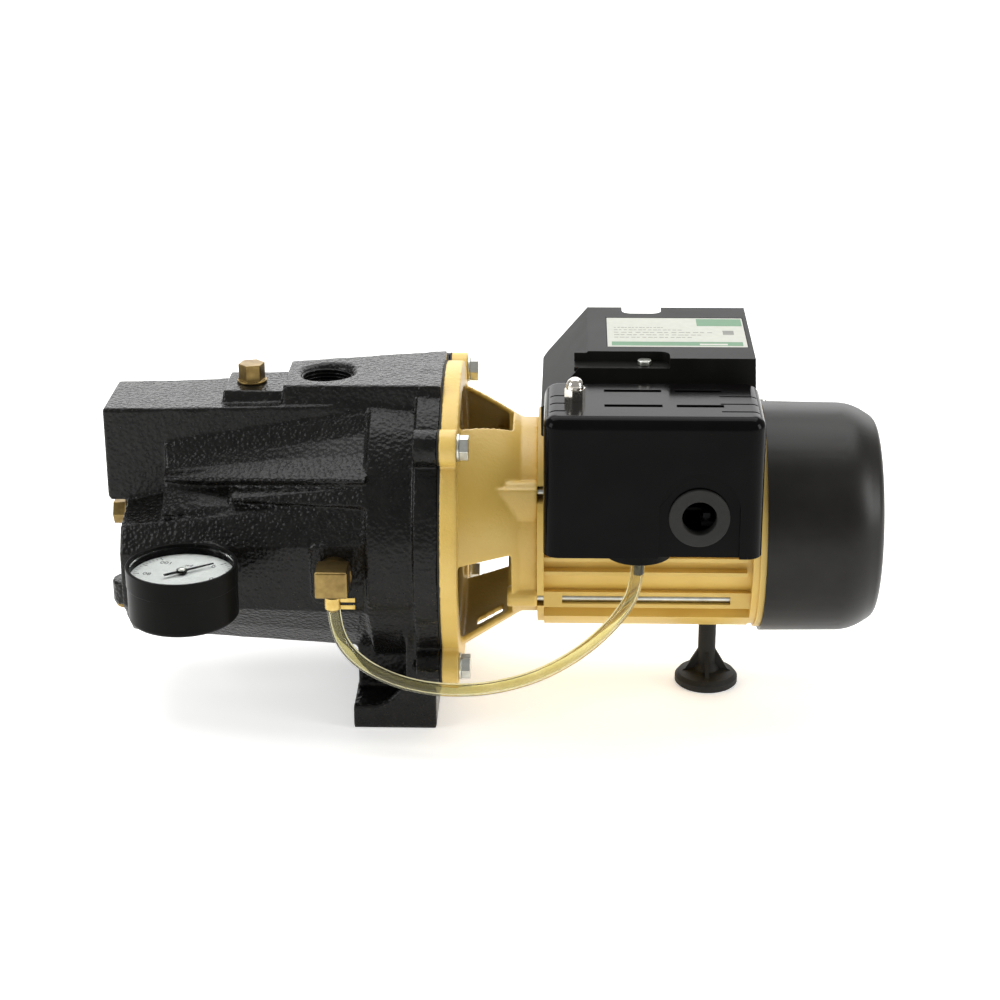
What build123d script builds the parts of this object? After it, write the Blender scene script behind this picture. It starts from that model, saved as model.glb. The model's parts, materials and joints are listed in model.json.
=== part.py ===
from build123d import *
from math import cos, pi, radians, sin, tan
import os

# Shallow well jet pump: an iron pump head with a built-in ejector, a lantern bracket, a finned motor,
# a capacitor box, an upright pressure switch and a gauge.
# Frame: +X along the shaft towards the fan, +Z up, -Y towards the gauge side. The origin lies on the
# ground, midway between the two foot bolts. Millimetres.

# ---------------------------------------------------------------- driving dimensions
shaft_z = 112.0             # shaft axis above the ground

# stations along the shaft, from the suction end to the fan
head_x = -177.0             # face of the suction port
nozzle_boss_x = -169.5      # face of the boss round the nozzle plug
tub_x = -165.0              # lower end face of the casing
head_end_x = -140.0         # where the head block meets the flared body
drum_x = -17.0              # where the flared body meets the round drum
flange_x = 11.0             # back of the casing flange
joint_x = 25.0              # joint face of the casing
gasket_t = 1.0
bracket_flange_t = 10.0
window_x0 = 33.0            # the lantern's windows
window_x1 = 66.5
cone_end_x = 72.0           # where the cone meets its round motor end
motor_x = 82.0              # joint between the bracket and the motor frame
frame_flange_t = 4.0
motor_len = 127.0
frame_end_x = motor_x + motor_len
shield_t = 4.5
cover_rim_x = frame_end_x + 7.6
cover_straight_x = cover_rim_x + 54.2
cover_end_x = cover_straight_x + 14.95

# pump head
flange_r = 93.5
lug_r = 10.5
bolt_y = 73.0
bolt_z = 69.0
bolt_r = 4.0                # M8
bolt_clear = 0.5
drum_r = 86.0
bore_r = 77.0               # inside the drum
head_half = 27.5            # half width of the head block
head_top_z = 187.8
suction_z = 160.0
suction_r = 19.4            # 1-1/4 inch NPT, plain bore at the crest of the thread
suction_depth = 27.0
outlet_x = -44.9
outlet_r = 15.2             # 1 inch NPT
outlet_seat_z = 199.9       # foot of the outlet's countersink
prime_pad_z = 196.3
outlet_pad_z = 201.6
plug_thread_r = 6.6         # 1/4 inch NPT
plug_head_af = 14.0
plug_head_h = 10.0
plug_flange_r = 9.0
plug_thread_len = 9.5
prime_x = -90.5
drain_x = -173.0
drain_z = 52.5              # underside of the drain boss
nozzle_boss_r = 14.0
drain_boss_r = 10.5

# foot
foot_x0 = -28.0
foot_x1 = 22.0
foot_half = 71.0
foot_pad_t = 15.0
foot_hole_y = 57.5          # half of the bolt spacing
foot_slot_r = 5.5
foot_slot_len = 17.0

# ejector
nozzle_bore_r = 9.0
nozzle_jet_r = 3.5
venturi_throat_r = 6.0
venturi_exit_r = 11.5
venturi_r = 14.0
venturi_x0 = -128.0
venturi_x1 = -28.0

# impeller and diffuser
impeller_r = 58.0
impeller_x0 = 1.0
impeller_x1 = 15.0
eye_r = 16.0
diffuser_r = 70.0
diffuser_wall = 3.0

# bracket
register_r = 80.0
cone_foot_r = 81.6          # at the flange
cone_r = 59.5               # at the motor
cone_wall = 3.5             # measured along the radius
side_windows = [(182, 234), (-54, -2)]      # degrees about the shaft, 0 at +Y, 90 at the top
top_window_foot = 31.0      # half angle at the flange
top_window_head = 16.0      # half angle at the motor end

# shaft line
shaft_pump_r = 6.0
shaft_seal_r = 7.0
journal_r = 7.5             # 6202 bearing
bearing_r = 17.5
bearing_w = 11.0
bearing_hub_wall = 5.5
web_bore_r = 12.0
seat_clear = 0.02           # between a bearing or a hub and its seat
front_bearing_x = 68.0
rear_bearing_x = frame_end_x - 10.0
ball_r = 2.97
ball_pitch_r = 12.5
ball_count = 8
inner_race_r = 10.4
outer_race_r = 14.6
rotor_x0 = motor_x + 28.0
rotor_x1 = frame_end_x - 29.0
rotor_r = 30.0
air_gap = 0.35
stator_r = 54.0
frame_wall = 3.5
slot_count = 24
fan_x = frame_end_x + 13.0
fan_r = 62.0

# motor frame
barrel_r = stator_r + frame_wall
fin_r = 67.0
fin_side_y = 62.0
fin_t = 2.4
tie_y = 50.0
tie_z = 33.7
tie_r = 2.5
strip_y = 54.0
cover_r = 70.0
cover_wall = 2.2
cover_end_r = 59.85

# motor foot
motor_foot_x = frame_end_x - 21.6
motor_foot_r = 19.55

# capacitor box
box_x0 = 84.0
box_x1 = 208.5
box_half = 51.5
box_top_z = 228.5
box_split_z = 190.0
box_floor_z = 180.0
box_wall = 2.5
base_screw_x = (112.0, 184.0)
hanger_screw_x = (125.0, 170.0)
hanger_screw_z = 184.5
hanger_screw_r = 2.0

# pressure switch
sw_x0 = 86.3
sw_x1 = 208.5
sw_y0 = -126.0
sw_y1 = -56.5
sw_z0 = 135.0
sw_z1 = 217.0
sw_wall = 2.5
port_x = 140.5
port_y = -91.0
acorn_x = 103.5
grommet_x = 173.0
grommet_z = 159.0
grommet_r = 17.0
grommet_hole_r = 9.7

# pressure gauge
gauge_x = -118.8
gauge_y = -115.0
gauge_r = 31.7
gauge_floor_z = 92.5
gauge_seam_z = 114.0
gauge_rim_z = 125.25
gauge_turn = -10.0          # the gauge faces its boss, which follows the taper of the casing
gauge_stem_z = 103.0

# pressure tube
tube_r = 4.0
tube_bore_r = 2.5
tube_route = [
    (-35.5, -95.0, 98.0),
    (-35.5, -95.0, 77.0),
    (-24.5, -97.0, 58.5),
    (-3.5, -100.0, 46.5),
    (24.0, -102.5, 41.0),
    (54.0, -102.5, 42.0),
    (83.0, -99.5, 49.0),
    (108.0, -96.5, 63.0),
    (128.5, -93.5, 82.0),
    (140.5, -91.0, 102.0),
    (140.5, -91.0, 120.0),
]


# ---------------------------------------------------------------- small shape helpers
# Each one adds to, or cuts from, the part that is being built.
def rod(radius, x0, x1, y=0.0, z=shaft_z, mode=Mode.ADD):
    with BuildSketch(Plane.YZ.offset(x0)) as profile:
        with Locations((y, z)):
            Circle(radius)
    extrude(profile.sketch, amount=x1 - x0, mode=mode)


def peg(radius, y0, y1, x, z, mode=Mode.ADD):
    with BuildSketch(Plane.XZ.offset(-y1)) as profile:
        with Locations((x, z)):
            Circle(radius)
    extrude(profile.sketch, amount=y1 - y0, mode=mode)


def post(radius, z0, z1, x, y, mode=Mode.ADD):
    with BuildSketch(Plane.XY.offset(z0)) as profile:
        with Locations((x, y)):
            Circle(radius)
    extrude(profile.sketch, amount=z1 - z0, mode=mode)


def block(x0, x1, y0, y1, z0, z1, mode=Mode.ADD):
    with BuildSketch(Plane.XY.offset(z0)) as profile:
        with Locations(((x0 + x1) / 2, (y0 + y1) / 2)):
            Rectangle(x1 - x0, y1 - y0)
    extrude(profile.sketch, amount=z1 - z0, mode=mode)


def rounded_block(x0, x1, y0, y1, z0, z1, radius, mode=Mode.ADD):
    with BuildSketch(Plane.XY.offset(z0)) as profile:
        with Locations(((x0 + x1) / 2, (y0 + y1) / 2)):
            RectangleRounded(x1 - x0, y1 - y0, radius)
    extrude(profile.sketch, amount=z1 - z0, mode=mode)


def hex_x(across_flats, x0, x1, y, z, mode=Mode.ADD):
    with BuildSketch(Plane.YZ.offset(x0)) as profile:
        with Locations((y, z)):
            RegularPolygon(across_flats / 2, 6, major_radius=False)
    extrude(profile.sketch, amount=x1 - x0, mode=mode)


def hex_z(across_flats, z0, z1, x, y, mode=Mode.ADD):
    with BuildSketch(Plane.XY.offset(z0)) as profile:
        with Locations((x, y)):
            RegularPolygon(across_flats / 2, 6, major_radius=False, rotation=15)
    extrude(profile.sketch, amount=z1 - z0, mode=mode)


def side_prism(points, y0, y1, mode=Mode.ADD):
    """A solid along Y with the given XZ outline."""
    with BuildSketch(Plane.XZ.offset(-y1)) as profile:
        with BuildLine():
            Polyline(*points, close=True)
        make_face()
    extrude(profile.sketch, amount=y1 - y0, mode=mode)


def turned(points, mode=Mode.ADD):
    """A solid turned about the shaft axis; each point is (station along X, radius)."""
    with BuildSketch(Plane.XZ) as profile:
        with BuildLine():
            Polyline(*[(x, shaft_z + r) for x, r in points], close=True)
        make_face()
    revolve(profile.sketch, axis=Axis((0, 0, shaft_z), (1, 0, 0)), mode=mode)


def both_sides(near):
    """A closed outline from its -Y half."""
    return near + [(-y, z) for y, z in reversed(near)]


def tapered(x0, near0, x1, near1, mode=Mode.ADD):
    """A solid along X whose symmetric section changes evenly from one outline to another."""
    faces = []
    for x, near in ((x0, near0), (x1, near1)):
        with BuildSketch(Plane.YZ.offset(x)) as section:
            with BuildLine():
                Polyline(*both_sides(near), close=True)
            make_face()
        faces.append(section.sketch.face())
    loft(faces, ruled=True, mode=mode)


def write(builder, label):
    builder.part.label = label
    export_step(builder.part, "parts/" + label + ".step")


os.makedirs("parts", exist_ok=True)


# ---------------------------------------------------------------- pump casing
# Outlines of the -Y half, from the top centre line down. The tub is the lower body; the crown is the
# flared body above it, which overhangs the tub by a small step like a roof tile.
tub_end = [(-30, 129), (-54, 123), (-62, 108), (-62, 76), (-50, 62), (-36, 48), (-10, 46)]
tub_drum = [(-60, 168), (-76, 145), (-82, 124), (-79, 80), (-60, 58), (-42, 41), (-10, 36)]
crown_end = [(-27.5, head_top_z), (-28, 166.5), (-30, 165), (-31.5, 157.5), (-35.5, 152.2), (-42.5, 149),
             (-40.5, 146), (-15, 135)]
crown_drum = [(-33, 192.5), (-33.5, 189), (-35.5, 188), (-43, 179.5), (-56.5, 170), (-76, 161),
              (-73.5, 157), (-15, 135)]


chamber_x = venturi_x0 + 8.0
feed_x = tub_x + 4.0        # slot that feeds the nozzle, behind a 4 mm wall
feed_w = 3.5
chamber_end = [(-20, 178), (-22, 160), (-32, 143), (-47, 127), (-53, 112), (-53, 80), (-42, 66), (-30, 55)]
chamber_drum = [(-26, 184), (-30, 181), (-62, 156), (-72, 140), (-75, 122), (-72, 82), (-55, 62), (-38, 47)]
flange_lugs = [(sy * bolt_y, shaft_z + sz * bolt_z) for sy in (-1, 1) for sz in (-1, 1)]
elbow_x = -35.5
elbow_y = -95.0
elbow_z = 105.5
elbow_face_y = -80.0
gauge_plane = Plane(origin=(gauge_x, gauge_y, 0), z_dir=(0, 0, 1),
                    x_dir=(cos(radians(gauge_turn)), sin(radians(gauge_turn)), 0))
gauge_boss_v = 42.0         # from the gauge's centre to the face of its boss
thread_clear = 0.05


def flange_outline(x0, x1):
    rod(flange_r, x0, x1)
    for y, z in flange_lugs:
        rod(lug_r, x0, x1, y, z)


def gauge_peg(radius, v0, v1, mode=Mode.ADD):
    """A cylinder along the stem of the gauge, at stations measured from the gauge's centre."""
    stem = Plane(origin=gauge_plane.from_local_coords((0, v0, gauge_stem_z)), x_dir=(0, 0, 1),
                 z_dir=gauge_plane.y_dir)
    with BuildSketch(stem) as profile:
        Circle(radius)
    extrude(profile.sketch, amount=v1 - v0, mode=mode)


with BuildPart() as pump_casing:
    tapered(tub_x, tub_end, drum_x, tub_drum)
    tapered(head_end_x, crown_end, drum_x, crown_drum)
    # raised tile at the head end and the long wedge that grows into the drum
    tapered(head_end_x, [(-36, 149), (-55, 133), (-57, 131), (-20, 125)],
            -95, [(-36, 151), (-58, 137.5), (-59, 136), (-20, 130)])
    tapered(-99, [(-40, 152), (-61, 143.2), (-61, 142.4), (-20, 130)],
            drum_x, [(-40, 172), (-74.5, 156), (-79.5, 146), (-20, 130)])
    # head block with the suction port, stepped back below
    tapered(head_x, [(-27, head_top_z - 0.5), (-27.5, 132), (-22, 128)],
            head_end_x, [(-27.5, head_top_z), (-28, 132), (-22, 128)])
    side_prism([(head_x + 1.2, 130), (head_end_x, 135), (head_end_x, 108), (-148, 100), (tub_x, 100),
                (tub_x, 130)], -28, 28)
    # raised pads of the priming plug and the outlet
    tapered(-106, [(-18, prime_pad_z), (-21.5, 186)], -66, [(-19, prime_pad_z), (-23, 186)])
    tapered(-69, [(-24.5, outlet_pad_z), (-27.5, 188)], joint_x, [(-35, outlet_pad_z + 3.8), (-37, 188)])
    # drum and flange
    rod(drum_r, drum_x, flange_x)
    flange_outline(flange_x, joint_x)
    # bosses of the elbow and the gauge
    with BuildSketch(Plane.XZ.offset(-elbow_face_y)) as elbow_boss:
        with Locations((-33.5, 104)):
            RectangleRounded(31.5, 37, 5)
    extrude(elbow_boss.sketch, amount=-45)
    gauge_peg(16.0, gauge_boss_v, gauge_boss_v + 45)
    # foot: pad, centre web and the buttresses up to the flange
    block(foot_x0, foot_x1, -foot_half, foot_half, 0, foot_pad_t)
    block(foot_x0 + 1, flange_x, -44, 44, 1, 60)
    block(4, foot_x1, -foot_half, foot_half, 1, 62)
    for side in (-1, 1):
        side_prism([(-16, foot_pad_t - 1), (6, foot_pad_t - 1), (6, 30), (1, 26), (-6, 19)],
                   min(side * foot_half, side * 66), max(side * foot_half, side * 66))
    # drain boss at the lowest end of the tub, and the boss of the nozzle plug
    post(drain_boss_r, drain_z, drain_z + 14.5, drain_x, 0)
    block(drain_x, tub_x + 3, -drain_boss_r, drain_boss_r, drain_z, drain_z + 14.5)
    rod(nozzle_boss_r, nozzle_boss_x, tub_x + 2)

    # water spaces: main chamber, suction chamber, nozzle feed
    tapered(chamber_x, chamber_end, drum_x, chamber_drum, mode=Mode.SUBTRACT)
    rod(bore_r, drum_x - 1, joint_x, mode=Mode.SUBTRACT)
    block(-150, venturi_x0, -20, 20, 95, 180, mode=Mode.SUBTRACT)
    block(feed_x, feed_x + feed_w, -16, 16, 60, shaft_z + nozzle_bore_r, mode=Mode.SUBTRACT)
    block(feed_x, chamber_x + 1, -30, 30, 58, 86, mode=Mode.SUBTRACT)
    rod(suction_r, head_x - 1, head_x + suction_depth + 1, 0, suction_z, mode=Mode.SUBTRACT)
    post(outlet_r, 150, 210, outlet_x, 0, mode=Mode.SUBTRACT)
    with Locations((outlet_x, 0, outlet_seat_z + 3)):
        Cone(outlet_r, outlet_r + 6, 6, mode=Mode.SUBTRACT)
    post(plug_thread_r + thread_clear, 150, 210, prime_x, 0, mode=Mode.SUBTRACT)
    post(plug_thread_r + thread_clear, drain_z - 1, drain_z + 10, drain_x, 0, mode=Mode.SUBTRACT)
    post(plug_flange_r + 0.6, 35, drain_z, drain_x, 0, mode=Mode.SUBTRACT)
    rod(3, drain_x, feed_x + 1, 0, drain_z + 9, mode=Mode.SUBTRACT)
    rod(nozzle_bore_r + thread_clear, nozzle_boss_x - 1, -150, mode=Mode.SUBTRACT)
    rod(venturi_r - 1 + thread_clear, venturi_x0 - 1, chamber_x + 1, mode=Mode.SUBTRACT)
    peg(plug_thread_r + thread_clear, elbow_face_y - 1, -60, elbow_x, elbow_z, mode=Mode.SUBTRACT)
    gauge_peg(plug_thread_r + thread_clear, gauge_boss_v - 1, gauge_boss_v + 30, mode=Mode.SUBTRACT)
    # bolt holes in the lugs and slots in the foot
    for y, z in flange_lugs:
        rod(bolt_r + thread_clear, flange_x - 1, joint_x + 1, y, z, mode=Mode.SUBTRACT)
    with BuildSketch(Plane.XY.offset(-1)) as foot_slots:
        with Locations((0, foot_hole_y), (0, -foot_hole_y)):
            SlotOverall(foot_slot_len, 2 * foot_slot_r, rotation=90)
    extrude(foot_slots.sketch, amount=foot_pad_t + 2, mode=Mode.SUBTRACT)
write(pump_casing, "pump_casing")


# ---------------------------------------------------------------- plugs, gasket and seal plate
drain_head_h = 2.5
with BuildPart() as pipe_plugs:
    post(plug_flange_r, prime_pad_z + 0.02, prime_pad_z + 1.6, prime_x, 0)
    hex_z(plug_head_af, prime_pad_z + 1.6, prime_pad_z + 1.6 + plug_head_h, prime_x, 0)
    post(plug_thread_r, prime_pad_z - plug_thread_len, prime_pad_z + 1, prime_x, 0)
    # the drain plug has a low head with a hexagon socket
    post(plug_flange_r, drain_z - drain_head_h, drain_z - 0.02, drain_x, 0)
    post(plug_thread_r, drain_z - 1, drain_z + plug_thread_len - 1, drain_x, 0)
    hex_z(6, drain_z - drain_head_h - 1, drain_z + 3, drain_x, 0, mode=Mode.SUBTRACT)
write(pipe_plugs, "priming_and_drain_plugs")

with BuildPart() as nozzle_plug:
    rod(nozzle_bore_r, nozzle_boss_x, nozzle_boss_x + 7)
    rod(11, nozzle_boss_x - 1.6, nozzle_boss_x - 0.02)
    hex_x(plug_head_af, nozzle_boss_x - plug_head_h + 0.4, nozzle_boss_x - 1.6, 0, shaft_z)
write(nozzle_plug, "nozzle_access_plug")

with BuildPart() as casing_gasket:
    flange_outline(joint_x, joint_x + gasket_t)
    rod(bore_r - 2, joint_x - 1, joint_x + 3, mode=Mode.SUBTRACT)
    for y, z in flange_lugs:
        rod(bolt_r + bolt_clear, joint_x - 1, joint_x + 3, y, z, mode=Mode.SUBTRACT)
write(casing_gasket, "casing_gasket")

bracket_x = joint_x + gasket_t
plate_t = 3.0
seat_x = bracket_x + plate_t
seat_r = 13.0
with BuildPart() as seal_plate:
    turned([(bracket_x, seat_r), (bracket_x, register_r - 0.2), (seat_x, register_r - 0.2), (seat_x, 20),
            (seat_x + 11, 18), (seat_x + 11, 8.5), (seat_x + 9, 8.5), (seat_x + 9, seat_r)])
write(seal_plate, "seal_plate")

with BuildPart() as seal_seat:
    rod(seat_r - 0.05, seat_x + 3, seat_x + 9)
    rod(shaft_seal_r + 0.6, seat_x, seat_x + 12, mode=Mode.SUBTRACT)
write(seal_seat, "seal_seat")

# ---------------------------------------------------------------- ejector
with BuildPart() as nozzle:
    rod(nozzle_bore_r, -158, -150)
    hex_x(15.5, -161, -158, 0, shaft_z)
    turned([(-150, 0), (-150, 7.5), (-134, 5), (-134, 0)])
    turned([(-162, 0), (-162, 6), (-150, 5.5), (-138, nozzle_jet_r), (-133, nozzle_jet_r), (-133, 0)],
           mode=Mode.SUBTRACT)
write(nozzle, "ejector_nozzle")

with BuildPart() as venturi:
    turned([(venturi_x0, 0), (venturi_x0, venturi_r - 1), (chamber_x, venturi_r - 1),
            (chamber_x, venturi_r + 2), (chamber_x + 3, venturi_r + 2), (chamber_x + 3, venturi_r - 3),
            (-110, 9.5), (-90, 9.5), (-40, venturi_r), (venturi_x1, venturi_r), (venturi_x1, 0)])
    turned([(venturi_x0 - 1, 0), (venturi_x0 - 1, 11), (-117, venturi_throat_r), (-100, venturi_throat_r),
            (venturi_x1 + 1, venturi_exit_r), (venturi_x1 + 1, 0)], mode=Mode.SUBTRACT)
    turned([(-36, venturi_r - 1.6), (-36, venturi_r + 1), (-33, venturi_r + 1), (-33, venturi_r - 1.6)],
           mode=Mode.SUBTRACT)
write(venturi, "venturi_tube")

# ---------------------------------------------------------------- diffuser and impeller
ring_x0 = impeller_x0 - 4
ring_x1 = impeller_x1 + 6
socket_x = -40.0
with BuildPart() as diffuser:
    turned([(ring_x0, eye_r + 0.9), (ring_x0, diffuser_r), (ring_x1, diffuser_r), (ring_x1, impeller_r + 3),
            (ring_x0 + diffuser_wall, impeller_r + 3), (ring_x0 + diffuser_wall, eye_r + 0.9)])
    turned([(socket_x, venturi_r + 0.1), (socket_x, venturi_r + 3.5), (ring_x0, eye_r + 4.5),
            (ring_x0 + 1, eye_r + 4.5), (ring_x0 + 1, eye_r + 0.9), (ring_x0 - 6, eye_r + 0.9),
            (venturi_x1 + 3, venturi_r + 0.1)])
    for k in range(8):
        angle = radians(45 * k)
        y, z = (impeller_r + 9) * cos(angle), shaft_z + (impeller_r + 9) * sin(angle)
        rod(3.2, ring_x0 + diffuser_wall + 2, ring_x1 + 1, y, z, mode=Mode.SUBTRACT)
write(diffuser, "diffuser")

with BuildPart() as venturi_o_ring:
    turned([(-35.9, venturi_r - 1.5), (-35.9, venturi_r + 0.05),
            (-33.1, venturi_r + 0.05), (-33.1, venturi_r - 1.5)])
write(venturi_o_ring, "venturi_o_ring")

shroud_t = 2.4
vane_count = 6
with BuildPart() as impeller:
    rod(impeller_r, impeller_x1 - shroud_t, impeller_x1)
    rod(12, impeller_x0 - 2, impeller_x1 + 4)
    turned([(impeller_x0 - 8, eye_r - 2), (impeller_x0 - 8, eye_r), (impeller_x0, eye_r),
            (impeller_x0, impeller_r), (impeller_x0 + shroud_t, impeller_r),
            (impeller_x0 + shroud_t, eye_r - 2)])
    for k in range(vane_count):
        with BuildSketch(Plane.YZ.offset(impeller_x0 + shroud_t)) as vane:
            with BuildLine(Plane.XY.rotated((0, 0, 360 / vane_count * k))) as path:
                outer = SagittaArc((eye_r + 1, 0), (impeller_r * 0.42, impeller_r * 0.88), 9)
                offset(amount=1.3)
            make_face()
        extrude(vane.sketch.moved(Location((0, 0, shaft_z))), amount=impeller_x1 - impeller_x0 - 2 * shroud_t)
    rod(shaft_pump_r + seat_clear, -20, 40, mode=Mode.SUBTRACT)
    block(-4, 30, -2.05, 2.05, shaft_z + 4, shaft_z + 7.8, mode=Mode.SUBTRACT)
write(impeller, "impeller")

with BuildPart() as impeller_nut:
    hex_x(15, impeller_x0 - 9, impeller_x0 - 2, 0, shaft_z)
    rod(5.02, -20, 20, mode=Mode.SUBTRACT)
    block(1, 17, -2, 2, shaft_z + 4.05, shaft_z + 7.7)
write(impeller_nut, "impeller_nut_and_key")

# rotating half of the shaft seal: carbon face, bellows and spring cage as one cartridge
with BuildPart() as seal_rotor:
    turned([(impeller_x1 + 4, shaft_seal_r + seat_clear), (impeller_x1 + 4, 11.5), (26, 11.5), (28, 10.5),
            (seat_x + 2.95, 10.5), (seat_x + 2.95, shaft_seal_r + seat_clear)])
write(seal_rotor, "shaft_seal_cartridge")


# ---------------------------------------------------------------- lantern bracket
bracket_face_x = bracket_x + bracket_flange_t
tie_points = [(sy * tie_y, shaft_z + sz * tie_z) for sy in (-1, 1) for sz in (-1, 1)]
cone_slope = (cone_foot_r - cone_r) / (cone_end_x - bracket_face_x + 1)
web_x = window_x1 - 2.5     # the wall between the lantern and the motor
window_in_flange_r = 77.0   # how far a window reaches into the flange's thickness
upper_boss_x = 56.0
rod_tip_x = web_x + 3.0


def cone_radius(x):
    return cone_foot_r - (x - bracket_face_x + 1) * cone_slope


def window_wedge(x, a0, a1):
    """The section of a window's cutter: a wedge from the shaft axis between two angles."""
    reach = flange_r + 20
    corners = [(reach * cos(radians(a)), shaft_z + reach * sin(radians(a))) for a in (a0, a1)]
    with BuildSketch(Plane.YZ.offset(x)) as wedge:
        with BuildLine():
            Polyline((0, shaft_z), *corners, close=True)
        make_face()
    return wedge.sketch


with BuildPart() as motor_bracket:
    flange_outline(bracket_x, bracket_face_x)
    turned([(bracket_face_x - 1, 60), (bracket_face_x - 1, cone_foot_r), (cone_end_x, cone_r),
            (motor_x, cone_r), (motor_x, stator_r), (cone_end_x, stator_r), (cone_end_x, 20),
            (web_x, 20), (web_x, 50)])
    rod(register_r, bracket_x - 1, seat_x, mode=Mode.SUBTRACT)
    turned([(seat_x - 1, 0), (seat_x - 1, 74), (window_x0, 74),
            (bracket_face_x, cone_radius(bracket_face_x) - cone_wall),
            (web_x, cone_radius(web_x) - cone_wall), (web_x, 0)], mode=Mode.SUBTRACT)
    # side windows, each with a shallow step into the flange
    for a0, a1 in side_windows:
        extrude(window_wedge(bracket_face_x, a0, a1), amount=window_x1 - bracket_face_x, mode=Mode.SUBTRACT)
    loft([window_wedge(bracket_face_x, 90 - top_window_foot, 90 + top_window_foot).face(),
          window_wedge(window_x1, 90 - top_window_head, 90 + top_window_head).face()],
         ruled=True, mode=Mode.SUBTRACT)
    for a0, a1 in side_windows + [(90 - top_window_foot, 90 + top_window_foot)]:
        with BuildSketch(Plane.YZ.offset(window_x0)) as step:
            with BuildLine():
                rim = CenterArc((0, shaft_z), window_in_flange_r, a0, a1 - a0)
                Line(rim @ 1, (0, shaft_z))
                Line((0, shaft_z), rim @ 0)
            make_face()
        extrude(step.sketch, amount=bracket_face_x - window_x0 + 0.1, mode=Mode.SUBTRACT)
    block(44, 60, -5, 5, 20, 60, mode=Mode.SUBTRACT)
    for y, z in tie_points:
        if z > shaft_z:
            block(upper_boss_x, motor_x, min(y * 0.8, y * 1.15), max(y * 0.8, y * 1.15), z - 14.5, z + 3.5)
        rod(6, web_x, motor_x, y, z)
        rod(tie_r + thread_clear, rod_tip_x - 1, motor_x + 1, y, z, mode=Mode.SUBTRACT)
    rod(bearing_r + bearing_hub_wall, web_x - 2, front_bearing_x + bearing_w + 1)
    rod(web_bore_r, web_x - 3, front_bearing_x + 1, mode=Mode.SUBTRACT)
    rod(bearing_r + seat_clear, front_bearing_x, front_bearing_x + bearing_w + 2, mode=Mode.SUBTRACT)
    for y, z in flange_lugs:
        rod(bolt_r + bolt_clear, bracket_x - 1, bracket_face_x + 30, y, z, mode=Mode.SUBTRACT)
        rod(lug_r - 1.2, bracket_face_x, bracket_face_x + 12, y, z, mode=Mode.SUBTRACT)
write(motor_bracket, "motor_bracket")

washer_t = 1.6
washer_r = 2.0 * bolt_r
head_h = 5.3
head_af = 3.25 * bolt_r
bolt_head_x = bracket_face_x + washer_t + 0.02
with BuildPart() as flange_bolts:
    for y, z in flange_lugs:
        rod(washer_r, bracket_face_x, bracket_face_x + washer_t, y, z)
        rod(bolt_r + 0.2, bracket_face_x - 1, bracket_face_x + washer_t + 1, y, z, mode=Mode.SUBTRACT)
    for y, z in flange_lugs:
        hex_x(head_af, bolt_head_x, bolt_head_x + head_h, y, z)
        rod(bolt_r, flange_x + 2, bolt_head_x + 1, y, z)
write(flange_bolts, "flange_bolts_and_washers")

# ---------------------------------------------------------------- motor frame
strip_half = 5.0            # half height of the strips that carry the tie rods
slot_half = 2.6             # half height of the slot that shows each rod
with BuildPart() as motor_frame:
    rod(barrel_r, motor_x, frame_end_x)
    # bottom and top saddles with upright fins, cut out of a full-width sector
    for start in (45, 225):
        with BuildSketch(Plane.YZ.offset(motor_x + frame_flange_t)) as saddle:
            with BuildLine():
                arc = CenterArc((0, shaft_z), fin_r, start, 90)
                Line(arc @ 1, (0, shaft_z))
                Line((0, shaft_z), arc @ 0)
            make_face()
        extrude(saddle.sketch, amount=frame_end_x - motor_x - frame_flange_t)
    # side fins
    for dz in (-13.5, -4.5, 4.5, 13.5):
        block(motor_x + frame_flange_t, frame_end_x - 3, -fin_side_y, fin_side_y,
              shaft_z + dz - fin_t / 2, shaft_z + dz + fin_t / 2)
    # strips for the tie rods
    for sy in (-1, 1):
        for sz in (-1, 1):
            block(motor_x + frame_flange_t, frame_end_x,
                  min(sy * strip_y, sy * 40), max(sy * strip_y, sy * 40),
                  shaft_z + sz * tie_z - strip_half, shaft_z + sz * tie_z + strip_half)
    # end flange
    rod(fin_r - 1.5, motor_x, motor_x + frame_flange_t)
    # seats of the capacitor box and of the rubber foot
    block(104, 192, -26, 26, shaft_z + 55, box_floor_z)
    block(motor_foot_x - 9, motor_foot_x + 9, -9, 9, shaft_z - fin_r, shaft_z - 55)
    rod(stator_r, motor_x - 1, frame_end_x + 1, mode=Mode.SUBTRACT)
    for y, z in tie_points:
        rod(tie_r + 0.3, motor_x - 1, frame_end_x + 1, y, z, mode=Mode.SUBTRACT)
        side = 1 if y > 0 else -1
        block(motor_x + 15, frame_end_x - 12, min(side * 45, side * 70), max(side * 45, side * 70),
              z - slot_half, z + slot_half, mode=Mode.SUBTRACT)
        # notch in the end flange that leaves the rod in view
        block(motor_x - 1, motor_x + frame_flange_t, min(side * 46, side * 70), max(side * 46, side * 70),
              z - 4.5, z + 4.5, mode=Mode.SUBTRACT)
    # grooves between the upright fins
    for k in range(-3, 4):
        for z0, z1 in ((shaft_z - fin_r - 1, shaft_z - 61), (shaft_z + 61, shaft_z + fin_r + 1)):
            if k != 0 and (z0 < shaft_z or abs(k) == 3):
                block(motor_x + 8, frame_end_x - 5, 11 * k - 3, 11 * k + 3, z0, z1, mode=Mode.SUBTRACT)
    post(3.05, shaft_z - 70, shaft_z - 56, motor_foot_x, 0, mode=Mode.SUBTRACT)
    block(140, 156, -8, 8, shaft_z + 50, box_floor_z + 1, mode=Mode.SUBTRACT)
    for x in base_screw_x:
        post(2.05, box_floor_z - 9, box_floor_z + 1, x, 0, mode=Mode.SUBTRACT)
write(motor_frame, "motor_frame")

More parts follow.
